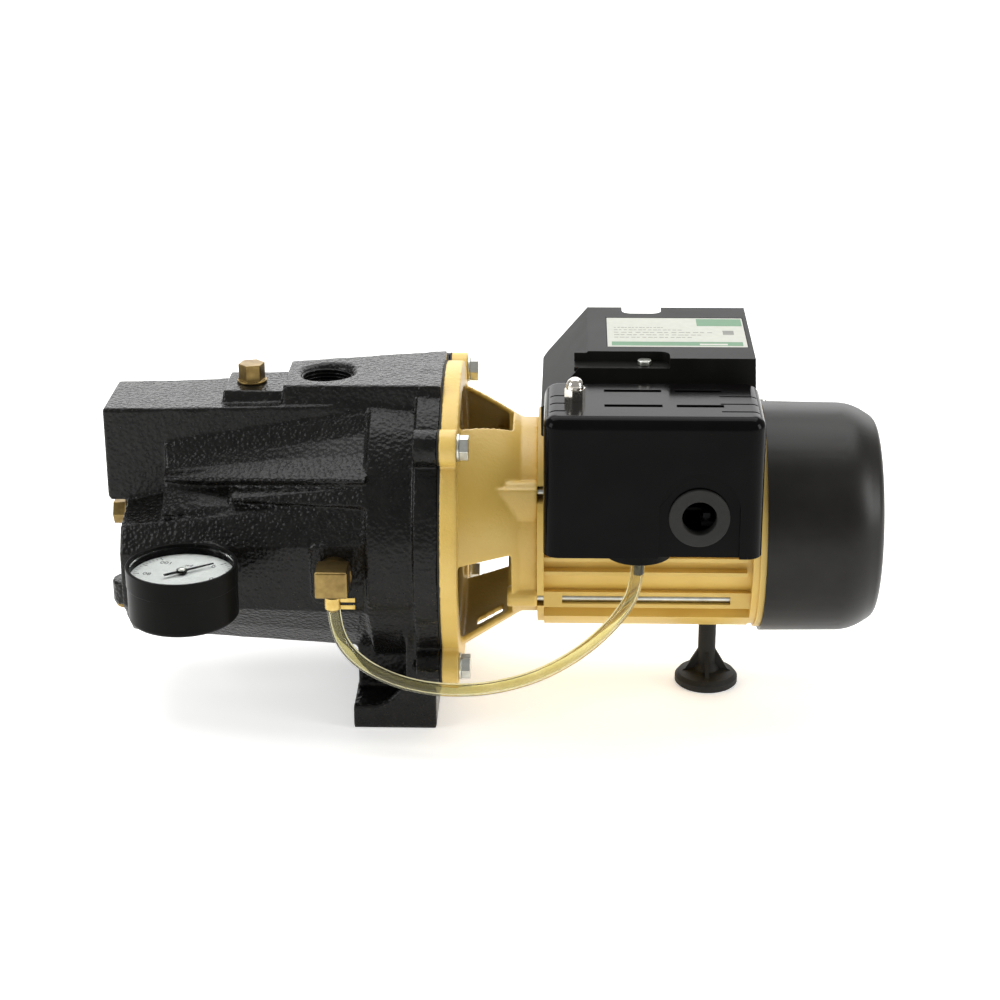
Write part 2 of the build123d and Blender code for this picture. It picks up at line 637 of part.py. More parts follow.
with BuildPart() as tie_rods:
    for y, z in tie_points:
        hex_x(8, frame_end_x + shield_t, frame_end_x + shield_t + 4, y, z)
        rod(tie_r + thread_clear / 2, frame_end_x, frame_end_x + 12, y, z, mode=Mode.SUBTRACT)
    for y, z in tie_points:
        rod(tie_r, rod_tip_x, frame_end_x + shield_t + 6, y, z)
write(tie_rods, "tie_rods_and_nuts")

shield_x = frame_end_x + shield_t
with BuildPart() as rear_shield:
    rod(fin_r - 1.0, frame_end_x, shield_x)
    rod(stator_r - 0.2, frame_end_x - 3, frame_end_x)
    rod(49, frame_end_x - 4, frame_end_x, mode=Mode.SUBTRACT)
    rod(bearing_r + bearing_hub_wall, rear_bearing_x - 3, frame_end_x + 1)
    rod(bearing_r + seat_clear, rear_bearing_x - 4, rear_bearing_x + bearing_w + 1.2, mode=Mode.SUBTRACT)
    rod(9, rear_bearing_x, shield_x + 1, mode=Mode.SUBTRACT)
    spigot_r = cover_r - cover_wall - 0.1       # the ring that the fan cover slips over
    turned([(shield_x - 0.5, fin_r - 1.8), (shield_x - 0.5, spigot_r), (shield_x + 8, spigot_r),
            (shield_x + 8, fin_r - 1.8)])
    for y, z in tie_points:
        rod(tie_r + 0.3, frame_end_x - 5, shield_x + 1, y, z, mode=Mode.SUBTRACT)
write(rear_shield, "rear_shield")

# ---------------------------------------------------------------- stator, rotor and shaft
with BuildPart() as stator_core:
    with BuildSketch(Plane.YZ.offset(rotor_x0)):
        with Locations((0, shaft_z)):
            Circle(stator_r - 0.03)
            Circle(rotor_r + air_gap, mode=Mode.SUBTRACT)
            with PolarLocations(rotor_r + 11, slot_count):
                RectangleRounded(16, 4.4, 1, mode=Mode.SUBTRACT)
            with PolarLocations(rotor_r + 2, slot_count):
                Rectangle(6, 1.4, mode=Mode.SUBTRACT)
    extrude(amount=rotor_x1 - rotor_x0)
write(stator_core, "stator_core")

coil_over = 16.0
with BuildPart() as stator_windings:
    with BuildSketch(Plane.YZ.offset(rotor_x0 - 2)):
        with Locations((0, shaft_z)):
            with PolarLocations(rotor_r + 11, slot_count):
                RectangleRounded(15, 3.8, 0.9)
    extrude(amount=rotor_x1 - rotor_x0 + 4)
    for x0, x1 in ((rotor_x0 - 1 - coil_over, rotor_x0 - 1), (rotor_x1 + 1, rotor_x1 + 1 + coil_over)):
        with BuildSketch(Plane.XZ) as overhang:
            with Locations(((x0 + x1) / 2, shaft_z + rotor_r + 11)):
                RectangleRounded(x1 - x0, 15, 4)
        revolve(overhang.sketch, axis=Axis((0, 0, shaft_z), (1, 0, 0)))
write(stator_windings, "stator_windings")

with BuildPart() as rotor_core:
    rod(rotor_r, rotor_x0, rotor_x1)
    rod(26, rotor_x0 - 8, rotor_x1 + 8)
    rod(9.02, rotor_x0 - 9, rotor_x1 + 9, mode=Mode.SUBTRACT)
    rod(19, rotor_x0 - 9, rotor_x0 - 2, mode=Mode.SUBTRACT)
    rod(19, rotor_x1 + 2, rotor_x1 + 9, mode=Mode.SUBTRACT)
write(rotor_core, "rotor_core")

with BuildPart() as motor_shaft:
    turned([(-12, 0), (-12, 5), (impeller_x0 - 2, 5), (impeller_x0 - 2, shaft_pump_r),
            (impeller_x1 + 4, shaft_pump_r), (impeller_x1 + 4, shaft_seal_r), (60, shaft_seal_r),
            (60, journal_r), (86, journal_r), (86, 9), (rear_bearing_x - 2, 9),
            (rear_bearing_x - 2, journal_r), (rear_bearing_x + bearing_w + 0.5, journal_r),
            (rear_bearing_x + bearing_w + 0.5, shaft_pump_r), (fan_x + 30, shaft_pump_r), (fan_x + 30, 0)])
    block(1, 17, -2.02, 2.02, shaft_z + 4, shaft_z + 8, mode=Mode.SUBTRACT)
write(motor_shaft, "motor_shaft")


def bearing_race(x0, r0, r1):
    """One race with its ball groove, between two radii."""
    rod(r1, x0, x0 + bearing_w)
    rod(r0, x0 - 1, x0 + bearing_w + 1, mode=Mode.SUBTRACT)
    with BuildSketch(Plane.XZ) as groove:
        with Locations((x0 + bearing_w / 2, shaft_z + ball_pitch_r)):
            Circle(ball_r + 0.05)
    revolve(groove.sketch, axis=Axis((0, 0, shaft_z), (1, 0, 0)), mode=Mode.SUBTRACT)


def ball_places():
    for k in range(ball_count):
        angle = radians(360 / ball_count * k)
        yield ball_pitch_r * cos(angle), shaft_z + ball_pitch_r * sin(angle)


bearing_stations = {"front": front_bearing_x, "rear": rear_bearing_x}
with BuildPart() as inner_races:
    for x0 in bearing_stations.values():
        bearing_race(x0, journal_r + seat_clear, inner_race_r)
write(inner_races, "bearing_inner_races")

with BuildPart() as outer_races:
    for x0 in bearing_stations.values():
        bearing_race(x0, outer_race_r, bearing_r)
write(outer_races, "bearing_outer_races")

for end, x0 in bearing_stations.items():
    with BuildPart() as ball_set:
        rod(13.3, x0 + 1.5, x0 + bearing_w - 1.5)
        rod(11.7, x0, x0 + bearing_w, mode=Mode.SUBTRACT)
        for y, z in ball_places():
            with Locations((x0 + bearing_w / 2, y, z)):
                Sphere(ball_r + 0.1, mode=Mode.SUBTRACT)
        for y, z in ball_places():
            with Locations((x0 + bearing_w / 2, y, z)):
                Sphere(ball_r)
    write(ball_set, end + "_bearing_balls_and_cage")

with BuildPart() as wave_spring:
    turned([(rear_bearing_x + bearing_w + 0.1, 14), (rear_bearing_x + bearing_w + 0.1, 17.2),
            (rear_bearing_x + bearing_w + 1.1, 17.2), (rear_bearing_x + bearing_w + 1.1, 14)])
write(wave_spring, "bearing_wave_spring")

with BuildPart() as slinger:
    turned([(46, shaft_seal_r + seat_clear), (46, 15), (48.5, 15), (49.5, 9.5), (55, 9),
            (55, shaft_seal_r + seat_clear)])
write(slinger, "shaft_slinger")

# ---------------------------------------------------------------- fan and its cover
blade_count = 8
with BuildPart() as fan:
    rod(13, fan_x, fan_x + 26)
    rod(54, fan_x, fan_x + 2.5)
    for k in range(blade_count):
        with BuildSketch(Plane.YZ.offset(fan_x)) as blade:
            with Locations(Location((0, shaft_z, 0), (0, 0, 360 / blade_count * k))):
                with Locations(((fan_r + 8) / 2, 0)):
                    Rectangle(fan_r - 8, 2.2)
        extrude(blade.sketch, amount=30)
    rod(shaft_pump_r + seat_clear, fan_x - 1, fan_x + 40, mode=Mode.SUBTRACT)
write(fan, "cooling_fan")

cover_shoulder_r = 30.0
cover_corner_r = 8.5
cover_screw_angles = (-90, -15, 60)     # degrees about the shaft, 0 at +Y, 90 at the top


def turned_cup(points, radii, mode=Mode.ADD):
    """A cup turned about the shaft axis, its outline rounded at the inner points."""
    with BuildSketch(Plane.XZ) as profile:
        with BuildLine():
            wall = FilletPolyline(*[(x, shaft_z + r) for x, r in points], radius=radii)
            Line(wall @ 1, (points[0][0], shaft_z))
            Line((points[0][0], shaft_z), wall @ 0)
        make_face()
    revolve(profile.sketch, axis=Axis((0, 0, shaft_z), (1, 0, 0)), mode=mode)


with BuildPart() as fan_cover:
    turned_cup([(cover_rim_x, cover_r), (cover_straight_x, cover_r - 0.7), (cover_end_x, cover_end_r),
                (cover_end_x, 0)], [cover_shoulder_r, cover_corner_r])
    turned_cup([(cover_rim_x - 1, cover_r - cover_wall), (cover_straight_x - 0.8, cover_r - 0.7 - cover_wall),
                (cover_end_x - cover_wall, cover_end_r - 1.2), (cover_end_x - cover_wall, 0)],
               [cover_shoulder_r - cover_wall, cover_corner_r - cover_wall], mode=Mode.SUBTRACT)
    for ring_r, count in ((20, 12), (35, 20), (50, 28)):
        with BuildSketch(Plane.YZ.offset(cover_end_x - 4)) as vents:
            with Locations((0, shaft_z)):
                with PolarLocations(ring_r, count):
                    SlotOverall(11, 3.4)
        extrude(vents.sketch, amount=6, mode=Mode.SUBTRACT)
    for degrees_round in cover_screw_angles:
        angle = radians(degrees_round)
        direction = (0, cos(angle), sin(angle))
        hole_start = (shield_x + 5, 60 * cos(angle), shaft_z + 60 * sin(angle))
        with BuildSketch(Plane(origin=hole_start, z_dir=direction)) as hole:
            Circle(2.1)
        extrude(hole.sketch, amount=14, mode=Mode.SUBTRACT)
write(fan_cover, "fan_cover")

# ---------------------------------------------------------------- rubber foot
with BuildPart() as motor_foot:
    with BuildSketch(Plane.XZ) as foot_section:
        with BuildLine():
            Polyline((motor_foot_x, 0), (motor_foot_x + motor_foot_r - 1, 0), (motor_foot_x + motor_foot_r, 1),
                     (motor_foot_x + motor_foot_r, 4.5), (motor_foot_x + motor_foot_r - 2, 7),
                     (motor_foot_x + 8, 9), (motor_foot_x + 5.5, 13), (motor_foot_x + 5.5, shaft_z - fin_r),
                     (motor_foot_x, shaft_z - fin_r), close=True)
        make_face()
    revolve(foot_section.sketch, axis=Axis((motor_foot_x, 0, 0), (0, 0, 1)))
    for turn in (0, 90):
        c, s = cos(radians(turn)), sin(radians(turn))
        upright = Plane(origin=(motor_foot_x, 0, 0), x_dir=(c, s, 0), z_dir=(s, -c, 0))
        with BuildSketch(upright) as gusset:
            with BuildLine():
                Polyline((-17.5, 6), (-13, 9), (-5.5, 22), (5.5, 22), (13, 9), (17.5, 6), close=True)
            make_face()
        extrude(gusset.sketch, amount=1.3, both=True)
    post(2.9, 40, shaft_z - 58, motor_foot_x, 0)
write(motor_foot, "motor_foot")

# ---------------------------------------------------------------- capacitor box
chamfer_x = 27.0
chamfer_z = 31.5
pocket_floor_z = box_top_z - 6.0
# start, end and side of each screw pocket
pockets = [(box_x0 + chamfer_x - 22, 158.0, -1), (132.0, 156.0, 1)]
box_screws_at = [(143.5, -44.0), (142.0, 44.0)]
label_x0 = 122.5
label_x1 = 204.0
label_half = 29.0
label_recess = 0.6


def box_shell(grow, z_low, mode=Mode.ADD):
    """The outline of the box cover, grown or shrunk all round, from z_low up."""
    side_prism([(box_x0 - grow, z_low), (box_x0 - grow, box_top_z - chamfer_z + 0.4 * grow),
                (box_x0 + chamfer_x - 0.6 * grow, box_top_z + grow), (box_x1 - 1.5 + grow, box_top_z + grow),
                (box_x1 + grow, z_low)], -box_half - grow, box_half + grow, mode=mode)


with BuildPart() as box_cover:
    box_shell(0, box_split_z)
    fillet(box_cover.edges().filter_by(Axis.Z), 5)
    box_shell(-box_wall, box_split_z - 1, mode=Mode.SUBTRACT)
    for x0, x1, side in pockets:
        depth = 13.0
        y0 = box_half - depth
        block(x0 + 14, x1 + 2, min(side * (y0 - box_wall), side * (box_half - 1)),
              max(side * (y0 - box_wall), side * (box_half - 1)), pocket_floor_z - box_wall, box_top_z - 1)
        with BuildSketch(Plane.XY.offset(pocket_floor_z)) as pocket:
            with Locations(((x0 + x1) / 2, side * box_half)):
                RectangleRounded(x1 - x0, 2 * depth, 6)
        extrude(pocket.sketch, amount=20, mode=Mode.SUBTRACT)
    for x, y in box_screws_at:
        post(4.5, box_split_z, pocket_floor_z - 1, x, y)
        post(2.3, box_split_z - 1, pocket_floor_z + 1, x, y, mode=Mode.SUBTRACT)
    block(label_x0 - 0.5, label_x1 + 0.5, -label_half - 0.5, label_half + 0.5,
          box_top_z - label_recess, box_top_z + 1, mode=Mode.SUBTRACT)
write(box_cover, "capacitor_box_cover")

with BuildPart() as box_base:
    rounded_block(box_x0, box_x1, -box_half, box_half, box_floor_z, box_split_z, 5)
    rounded_block(box_x0 + box_wall, box_x1 - box_wall, -box_half + box_wall, box_half - box_wall,
                  box_floor_z + box_wall, box_split_z + 1, 3, mode=Mode.SUBTRACT)
    for x, y in box_screws_at:
        post(4.5, box_floor_z, box_split_z, x, y)
        post(1.95, box_floor_z + 1, box_split_z + 1, x, y, mode=Mode.SUBTRACT)
    block(140, 156, -8, 8, box_floor_z - 1, box_floor_z + 5, mode=Mode.SUBTRACT)
    for x in base_screw_x:
        post(2.3, box_floor_z - 1, box_floor_z + 5, x, 0, mode=Mode.SUBTRACT)
    for x in hanger_screw_x:
        peg(hanger_screw_r + thread_clear, -box_half - 1, -box_half + box_wall + 1, x, hanger_screw_z,
            mode=Mode.SUBTRACT)
write(box_base, "capacitor_box_base")

with BuildPart() as cover_screws:
    for x, y in box_screws_at:
        post(4.0, pocket_floor_z, pocket_floor_z + 2.6, x, y)
        post(1.9, box_floor_z + 3, pocket_floor_z + 1, x, y)
    for x in base_screw_x:
        post(3.8, box_floor_z + box_wall, box_floor_z + box_wall + 2.6, x, 0)
        post(2.0, box_floor_z - 8, box_floor_z + box_wall + 1, x, 0)
    for degrees_round in cover_screw_angles:
        angle = radians(degrees_round)
        direction = (0, cos(angle), sin(angle))
        head = (3.4, cover_r + 0.02, cover_r + 1.8)
        shank = (1.5, cover_r - cover_wall, cover_r + 1)
        for radius, r0, r1 in (head, shank):
            start = (shield_x + 5, r0 * cos(angle), shaft_z + r0 * sin(angle))
            with BuildSketch(Plane(origin=start, z_dir=direction)) as disc:
                Circle(radius)
            extrude(disc.sketch, amount=r1 - r0)
write(cover_screws, "cover_screws")

with BuildPart() as rating_label:
    block(label_x0, label_x1, -label_half, label_half, box_top_z - label_recess, box_top_z - 0.1)
write(rating_label, "rating_label")

with BuildPart() as capacitor:
    rod(15, 109, 175, 20, 200)
    rod(16, 107, 109, 20, 200)
    rod(16, 175, 177, 20, 200)
    for dy in (-6, 6):
        block(177, 185, 20 + dy - 0.4, 20 + dy + 0.4, 197, 203)
write(capacitor, "run_capacitor")

with BuildPart() as box_terminals:
    block(120, 178, -30, -12, box_floor_z + box_wall, 198)
    for k in range(5):
        for y in (-26, -16):
            post(2.5, 193, 199, 126 + 11.5 * k, y, mode=Mode.SUBTRACT)
write(box_terminals, "box_terminal_block")

# ---------------------------------------------------------------- pressure switch
arch_r = 22.5
arch_z = 163.0
recess = 3.0
sw_mid_y = (sw_y0 + sw_y1) / 2
base_t = 2.0
with BuildPart() as switch_cover:
    rounded_block(sw_x0, sw_x1, sw_y0, sw_y1, sw_z0, sw_z1, 9)
    fillet(switch_cover.faces().sort_by(Axis.Z)[-1].edges(), 7)
    rounded_block(sw_x0 + sw_wall, sw_x1 - sw_wall, sw_y0 + sw_wall + recess, sw_y1 - sw_wall,
                  sw_z0 - 1, sw_z1 - sw_wall, 6.5, mode=Mode.SUBTRACT)
    # arched recess with the cable entry
    with BuildSketch(Plane.XZ.offset(-sw_y0 - recess)) as arch:
        with Locations((grommet_x, arch_z)):
            Circle(arch_r)
        with Locations((grommet_x, (arch_z + sw_z0 - 5) / 2)):
            Rectangle(2 * arch_r, arch_z - sw_z0 + 5)
    extrude(arch.sketch, amount=recess + 1, mode=Mode.SUBTRACT)
    peg(grommet_r - 2.5, sw_y0 - 1, sw_y0 + 12, grommet_x, grommet_z, mode=Mode.SUBTRACT)
    # shallow decoration on the top
    for x0, x1 in ((120, 152), (160, 186)):
        for y in (sw_y0 + 22, sw_y0 + 48):
            block(x0, x1, y, y + 4, sw_z1 - 1.2, sw_z1 + 1, mode=Mode.SUBTRACT)
    for x0, x1 in ((sw_x0 - 1, sw_x0 + 12), (sw_x1 - 24, sw_x1 + 1)):
        for y in (sw_y0 + 14, sw_y0 + 27, sw_y0 + 40):
            block(x0, x1, y, y + 1.4, sw_z1 - 1.2, sw_z1 + 1, mode=Mode.SUBTRACT)
    post(3.2, sw_z1 - 12, sw_z1 + 1, acorn_x, sw_mid_y, mode=Mode.SUBTRACT)
write(switch_cover, "switch_cover")

plate_z0 = sw_z0 + 0.5
plate_z1 = plate_z0 + base_t
hanger_t = 2.4
hanger_x0 = 118.0
hanger_x1 = 177.0
joggle_z = 154.0
lever_arm = 22.0            # from the pivot to the plunger
pivot_x = port_x - lever_arm
pivot_z = plate_z1 + 18.0
spring_x = port_x + 26.0
bar_x = spring_x + 11.0
with BuildPart() as switch_base:
    rounded_block(sw_x0 + sw_wall + 0.3, sw_x1 - sw_wall - 0.3,
                  sw_y0 + sw_wall + recess + 0.3, sw_y1 - sw_wall - 0.3, plate_z0, plate_z1, 6)
    # hanger, joggled in above the tie-rod strip and screwed to the side of the capacitor box
    block(hanger_x0, hanger_x1, sw_y1 - 8, -strip_y, sw_z0 - hanger_t, sw_z0 - 0.05)
    block(hanger_x0, hanger_x1, sw_y1 - 8, sw_y1 - 4, sw_z0 - hanger_t, plate_z0 + 1)
    block(hanger_x0, hanger_x1, -strip_y - hanger_t, -strip_y, sw_z0 - hanger_t, joggle_z)
    block(hanger_x0, hanger_x1, -strip_y - hanger_t, -box_half, joggle_z - hanger_t, joggle_z)
    block(hanger_x0, hanger_x1, -strip_y, -box_half, joggle_z - hanger_t, box_split_z - 2)
    for x in hanger_screw_x:
        peg(hanger_screw_r + 0.3, -60, -50, x, hanger_screw_z, mode=Mode.SUBTRACT)
    post(12, plate_z0 - 1, plate_z1 + 1, port_x, port_y, mode=Mode.SUBTRACT)
    post(3.05, plate_z0 - 1, plate_z1 + 1, acorn_x, sw_mid_y, mode=Mode.SUBTRACT)
    for side in (-1, 1):
        block(pivot_x - 3, pivot_x + 3, port_y + side * 9.5 - 0.8, port_y + side * 9.5 + 0.8,
              plate_z1 - 1, plate_z1 + 22)
    peg(1.53, port_y - 13, port_y + 13, pivot_x, pivot_z, mode=Mode.SUBTRACT)
    post(2.55, plate_z0 - 1, plate_z1 + 1, spring_x, port_y, mode=Mode.SUBTRACT)
write(switch_base, "switch_base")

dome_z0 = 121.0
with BuildPart() as switch_port:
    post(19, dome_z0 + 3, plate_z0, port_x, port_y)
    post(9, dome_z0, dome_z0 + 4, port_x, port_y)
    post(15, dome_z0 + 7, plate_z0 + 1, port_x, port_y, mode=Mode.SUBTRACT)
    post(tube_bore_r - 0.05, 111, dome_z0 + 1, port_x, port_y)
    post(1.4, 105, dome_z0 + 8, port_x, port_y, mode=Mode.SUBTRACT)
write(switch_port, "switch_port_dome")

with BuildPart() as diaphragm:
    post(14.9, plate_z0 - 4.5, plate_z0 - 3, port_x, port_y)
write(diaphragm, "switch_diaphragm")

with BuildPart() as plunger:
    post(11, plate_z0 - 2.6, plate_z0 - 0.2, port_x, port_y)
    post(4, plate_z0 - 1, plate_z1 + 12, port_x, port_y)
write(plunger, "switch_plunger")

with BuildPart() as switch_lever:
    block(pivot_x - 5, bar_x + 3, port_y - 8, port_y + 8, plate_z1 + 16.5, plate_z1 + 18)
    for side in (-1, 1):
        block(pivot_x - 4, pivot_x + 4, port_y + side * 7.2 - 0.8, port_y + side * 7.2 + 0.8,
              plate_z1 + 14, plate_z1 + 21)
    block(port_x - 4, port_x + 4, port_y - 4, port_y + 4, plate_z1 + 12.3, plate_z1 + 17)
    post(3.6, plate_z1 + 12, plate_z1 + 22, spring_x, port_y, mode=Mode.SUBTRACT)
    peg(1.55, port_y - 13, port_y + 13, pivot_x, pivot_z, mode=Mode.SUBTRACT)
    block(pivot_x - 2.5, pivot_x + 2.5, port_y - 6.4, port_y + 6.4, plate_z1 + 16, plate_z1 + 19,
          mode=Mode.SUBTRACT)
write(switch_lever, "switch_lever")

with BuildPart() as contact_bar:
    block(bar_x - 2, bar_x + 2, port_y - 24, port_y + 24, plate_z1 + 18.05, plate_z1 + 21)
    for y in (-20, -11, 11, 20):
        post(1.8, plate_z1 + 17.2, plate_z1 + 18.05, bar_x, port_y + y)
write(contact_bar, "switch_contact_bar")

spring_z0 = plate_z1 + 18.2
spring_z1 = plate_z1 + 52
spring_turns = 7
spring_wire_r = 1.0
spring_rise = spring_z1 - spring_z0 - 2 * spring_wire_r
with BuildPart() as range_spring:
    coil = Helix(pitch=spring_rise / spring_turns, height=spring_rise, radius=6.5,
                 center=(spring_x, port_y, spring_z0 + spring_wire_r))
    with BuildSketch(Plane(origin=coil @ 0, z_dir=coil % 0)) as wire_section:
        Circle(spring_wire_r)
    sweep(wire_section.sketch, path=coil)
write(range_spring, "switch_range_spring")

# the fixed studs and pins of the switch: spring stud with its nut, cover stud, lever pin, hanger screws
with BuildPart() as switch_studs:
    hex_z(11, spring_z1 + 1.3, spring_z1 + 5.5, spring_x, port_y)
    post(8.5, spring_z1 + 0.05, spring_z1 + 1.3, spring_x, port_y)
    post(2.55, spring_z1 - 1, spring_z1 + 8, spring_x, port_y, mode=Mode.SUBTRACT)
    post(2.5, plate_z0 - 2, plate_z1 + 64, spring_x, port_y)
    post(4.5, plate_z0 - 2, plate_z0 - 0.05, spring_x, port_y)
    post(3, plate_z0 - 0.4, sw_z1 + 8, acorn_x, sw_mid_y)
    peg(1.5, port_y - 12.5, port_y + 12.5, pivot_x, pivot_z)
    for x in hanger_screw_x:
        peg(hanger_screw_r, -strip_y - 1, -box_half + 5, x, hanger_screw_z)
        peg(3.8, -strip_y - 2.2, -strip_y, x, hanger_screw_z)
write(switch_studs, "switch_studs_and_pins")

with BuildPart() as terminal_block:
    block(bar_x + 5, bar_x + 24, port_y - 24, port_y + 24, plate_z1, plate_z1 + 28)
    for y in (-20, -11, 11, 20):
        block(bar_x - 3, bar_x + 6, port_y + y - 3, port_y + y + 3, plate_z1 + 13, plate_z1 + 15.5)
        post(1.8, plate_z1 + 15.5, plate_z1 + 17.1, bar_x, port_y + y)
        post(3.0, plate_z1 + 25, plate_z1 + 29, bar_x + 15, port_y + y, mode=Mode.SUBTRACT)
write(terminal_block, "switch_terminal_block")

with BuildPart() as acorn_nut:
    hex_z(10.5, sw_z1, sw_z1 + 6.5, acorn_x, sw_mid_y)
    post(5, sw_z1, sw_z1 + 8, acorn_x, sw_mid_y)
    with Locations((acorn_x, sw_mid_y, sw_z1 + 8)):
        Sphere(4.9)
    post(3.05, sw_z1 - 10, sw_z1 + 8.1, acorn_x, sw_mid_y, mode=Mode.SUBTRACT)
write(acorn_nut, "switch_acorn_nut")

with BuildPart() as grommet:
    peg(grommet_r, sw_y0 + recess - 2.4, sw_y0 + recess - 0.02, grommet_x, grommet_z)
    peg(grommet_r - 2.6, sw_y0 + recess - 1, sw_y0 + recess + sw_wall + 1, grommet_x, grommet_z)
    peg(grommet_r - 1, sw_y0 + recess + sw_wall + 0.05, sw_y0 + recess + sw_wall + 2.5, grommet_x, grommet_z)
    peg(grommet_hole_r, sw_y0 - 2, sw_y0 + 12, grommet_x, grommet_z, mode=Mode.SUBTRACT)
write(grommet, "switch_grommet")

# ---------------------------------------------------------------- elbow, clamp and pressure tube
barb_z = 88.0
elbow_floor_z = 99.3
with BuildPart() as elbow:
    block(elbow_x - 9.5, elbow_x + 9.5, elbow_y - 9.5, elbow_y + 9.5, elbow_floor_z, elbow_z + 10)
    fillet(elbow.edges(), 1.2)
    peg(10.3, elbow_y + 9, elbow_face_y, elbow_x, elbow_z)
    peg(plug_thread_r, elbow_face_y - 1, -66, elbow_x, elbow_z)
    post(3.6, tube_route[0][2] + 0.1, elbow_floor_z + 1, elbow_x, elbow_y)
    post(tube_bore_r - 0.05, barb_z, elbow_floor_z + 1, elbow_x, elbow_y)
    post(1.4, barb_z - 1, elbow_z, elbow_x, elbow_y, mode=Mode.SUBTRACT)
    peg(2.5, elbow_y, -60, elbow_x, elbow_z, mode=Mode.SUBTRACT)
write(elbow, "elbow_fitting")

clamp_z = 93.5
with BuildPart() as hose_clamp:
    post(tube_r + 0.95, clamp_z - 3.5, clamp_z + 3.5, elbow_x, elbow_y)
    post(tube_r + 0.1, clamp_z - 4, clamp_z + 4, elbow_x, elbow_y, mode=Mode.SUBTRACT)
    for z0 in (clamp_z + 0.9, clamp_z - 3.5):
        block(elbow_x + tube_r + 0.5, elbow_x + tube_r + 9, elbow_y - 2.5, elbow_y - 1.6, z0, z0 + 2.6)
write(hose_clamp, "hose_clamp")


def route_radii(points):
    """The corner radii of a route: 0.45 of the shorter run over the tangent of half the turn."""
    vectors = [Vector(*p) for p in points]
    radii = []
    for a, b, c in zip(vectors, vectors[1:], vectors[2:]):
        turn = (b - a).get_angle(c - b)
        radii.append(0.45 * min((b - a).length, (c - b).length) / tan(radians(turn / 2)))
    return radii


tube_start = tube_route[0]
tube_end = tube_route[-1]
with BuildPart() as pressure_tube:
    with BuildLine() as route:
        tube_line = FilletPolyline(*tube_route, radius=route_radii(tube_route))
    with BuildSketch(Plane(origin=tube_start, z_dir=route.line % 0)) as tube_section:
        Circle(tube_r)
    sweep(tube_section.sketch, path=route.line)
    with BuildSketch(Plane(origin=tube_start, z_dir=route.line % 0)) as bore_section:
        Circle(tube_bore_r)
    sweep(bore_section.sketch, path=route.line, mode=Mode.SUBTRACT)
write(pressure_tube, "pressure_tube")
print("tube radii", [round(r, 1) for r in route_radii(tube_route)], "length", round(tube_line.length, 1))
tube_area = pi * (tube_r ** 2 - tube_bore_r ** 2)
volume_share = pressure_tube.part.volume / (tube_area * tube_line.length)
print("tube volume over section times length", round(volume_share, 4))


# ---------------------------------------------------------------- pressure gauge
# Built on its own plane: local X across the dial, local Y towards the stem.
def gauge_disc(radius, z0, z1, u=0.0, v=0.0, mode=Mode.ADD):
    with BuildSketch(gauge_plane.offset(z0)) as profile:
        with Locations((u, v)):
            Circle(radius)
    extrude(profile.sketch, amount=z1 - z0, mode=mode)


def gauge_block(u0, u1, v0, v1, z0, z1, mode=Mode.ADD):
    with BuildSketch(gauge_plane.offset(z0)) as profile:
        with Locations(((u0 + u1) / 2, (v0 + v1) / 2)):
            Rectangle(u1 - u0, v1 - v0)
    extrude(profile.sketch, amount=z1 - z0, mode=mode)


gauge_wall = 2.0
dial_z = 117.5
window_z = gauge_rim_z - 3.2
with BuildPart() as gauge_case:
    gauge_disc(gauge_r - 0.35, gauge_floor_z, gauge_seam_z)
    fillet(gauge_case.edges().group_by(Axis.Z)[0], 3)
    gauge_disc(gauge_r - gauge_wall, gauge_floor_z + 2.2, gauge_seam_z + 1, mode=Mode.SUBTRACT)
    gauge_peg(7.2, gauge_r - 6, gauge_r + 2, mode=Mode.SUBTRACT)
write(gauge_case, "gauge_case")

with BuildPart() as gauge_bezel:
    gauge_disc(gauge_r, gauge_seam_z, gauge_rim_z)
    gauge_disc(gauge_r - gauge_wall, gauge_seam_z - 1, gauge_rim_z + 1, mode=Mode.SUBTRACT)
write(gauge_bezel, "gauge_bezel")

with BuildPart() as gauge_dial:
    gauge_disc(gauge_r - gauge_wall - 0.2, dial_z, dial_z + 0.8)
    gauge_disc(2.2, dial_z - 1, dial_z + 2, mode=Mode.SUBTRACT)
write(gauge_dial, "gauge_dial")

with BuildPart() as gauge_window:
    gauge_disc(gauge_r - gauge_wall - 0.15, window_z, window_z + 1.5)
write(gauge_window, "gauge_window")

tube_height = 4.0
bourdon_r = 21.0
# a flattened C-shaped tube, soldered into the stem block, with its free end beside the quadrant
with BuildPart() as bourdon_tube:
    with BuildSketch(gauge_plane.offset(gauge_stem_z - tube_height / 2)) as c_shape:
        with BuildLine():
            CenterArc((0, 0), bourdon_r, 62, -250)
            offset(amount=1.1)
        make_face()
    extrude(c_shape.sketch, amount=tube_height)
write(bourdon_tube, "bourdon_tube")

pinion_teeth = 12
gauge_ratio = 9.0
module_mm = 0.3
pinion_r = module_mm * pinion_teeth / 2
quadrant_r = pinion_r * gauge_ratio
quadrant_teeth = pinion_teeth * gauge_ratio
quadrant_u = -(pinion_r + quadrant_r + 0.1)      # pivot of the quadrant, on the local X axis
gear_z0 = 108.0
gear_z1 = 109.4


def gear_tooth(radius, angle, width):
    """A tooth on the current sketch, pointing outwards from the sketch's origin."""
    with Locations(Location((0, 0, 0), (0, 0, angle))):
        with Locations((radius + 0.15, 0)):
            Rectangle(0.7, width)


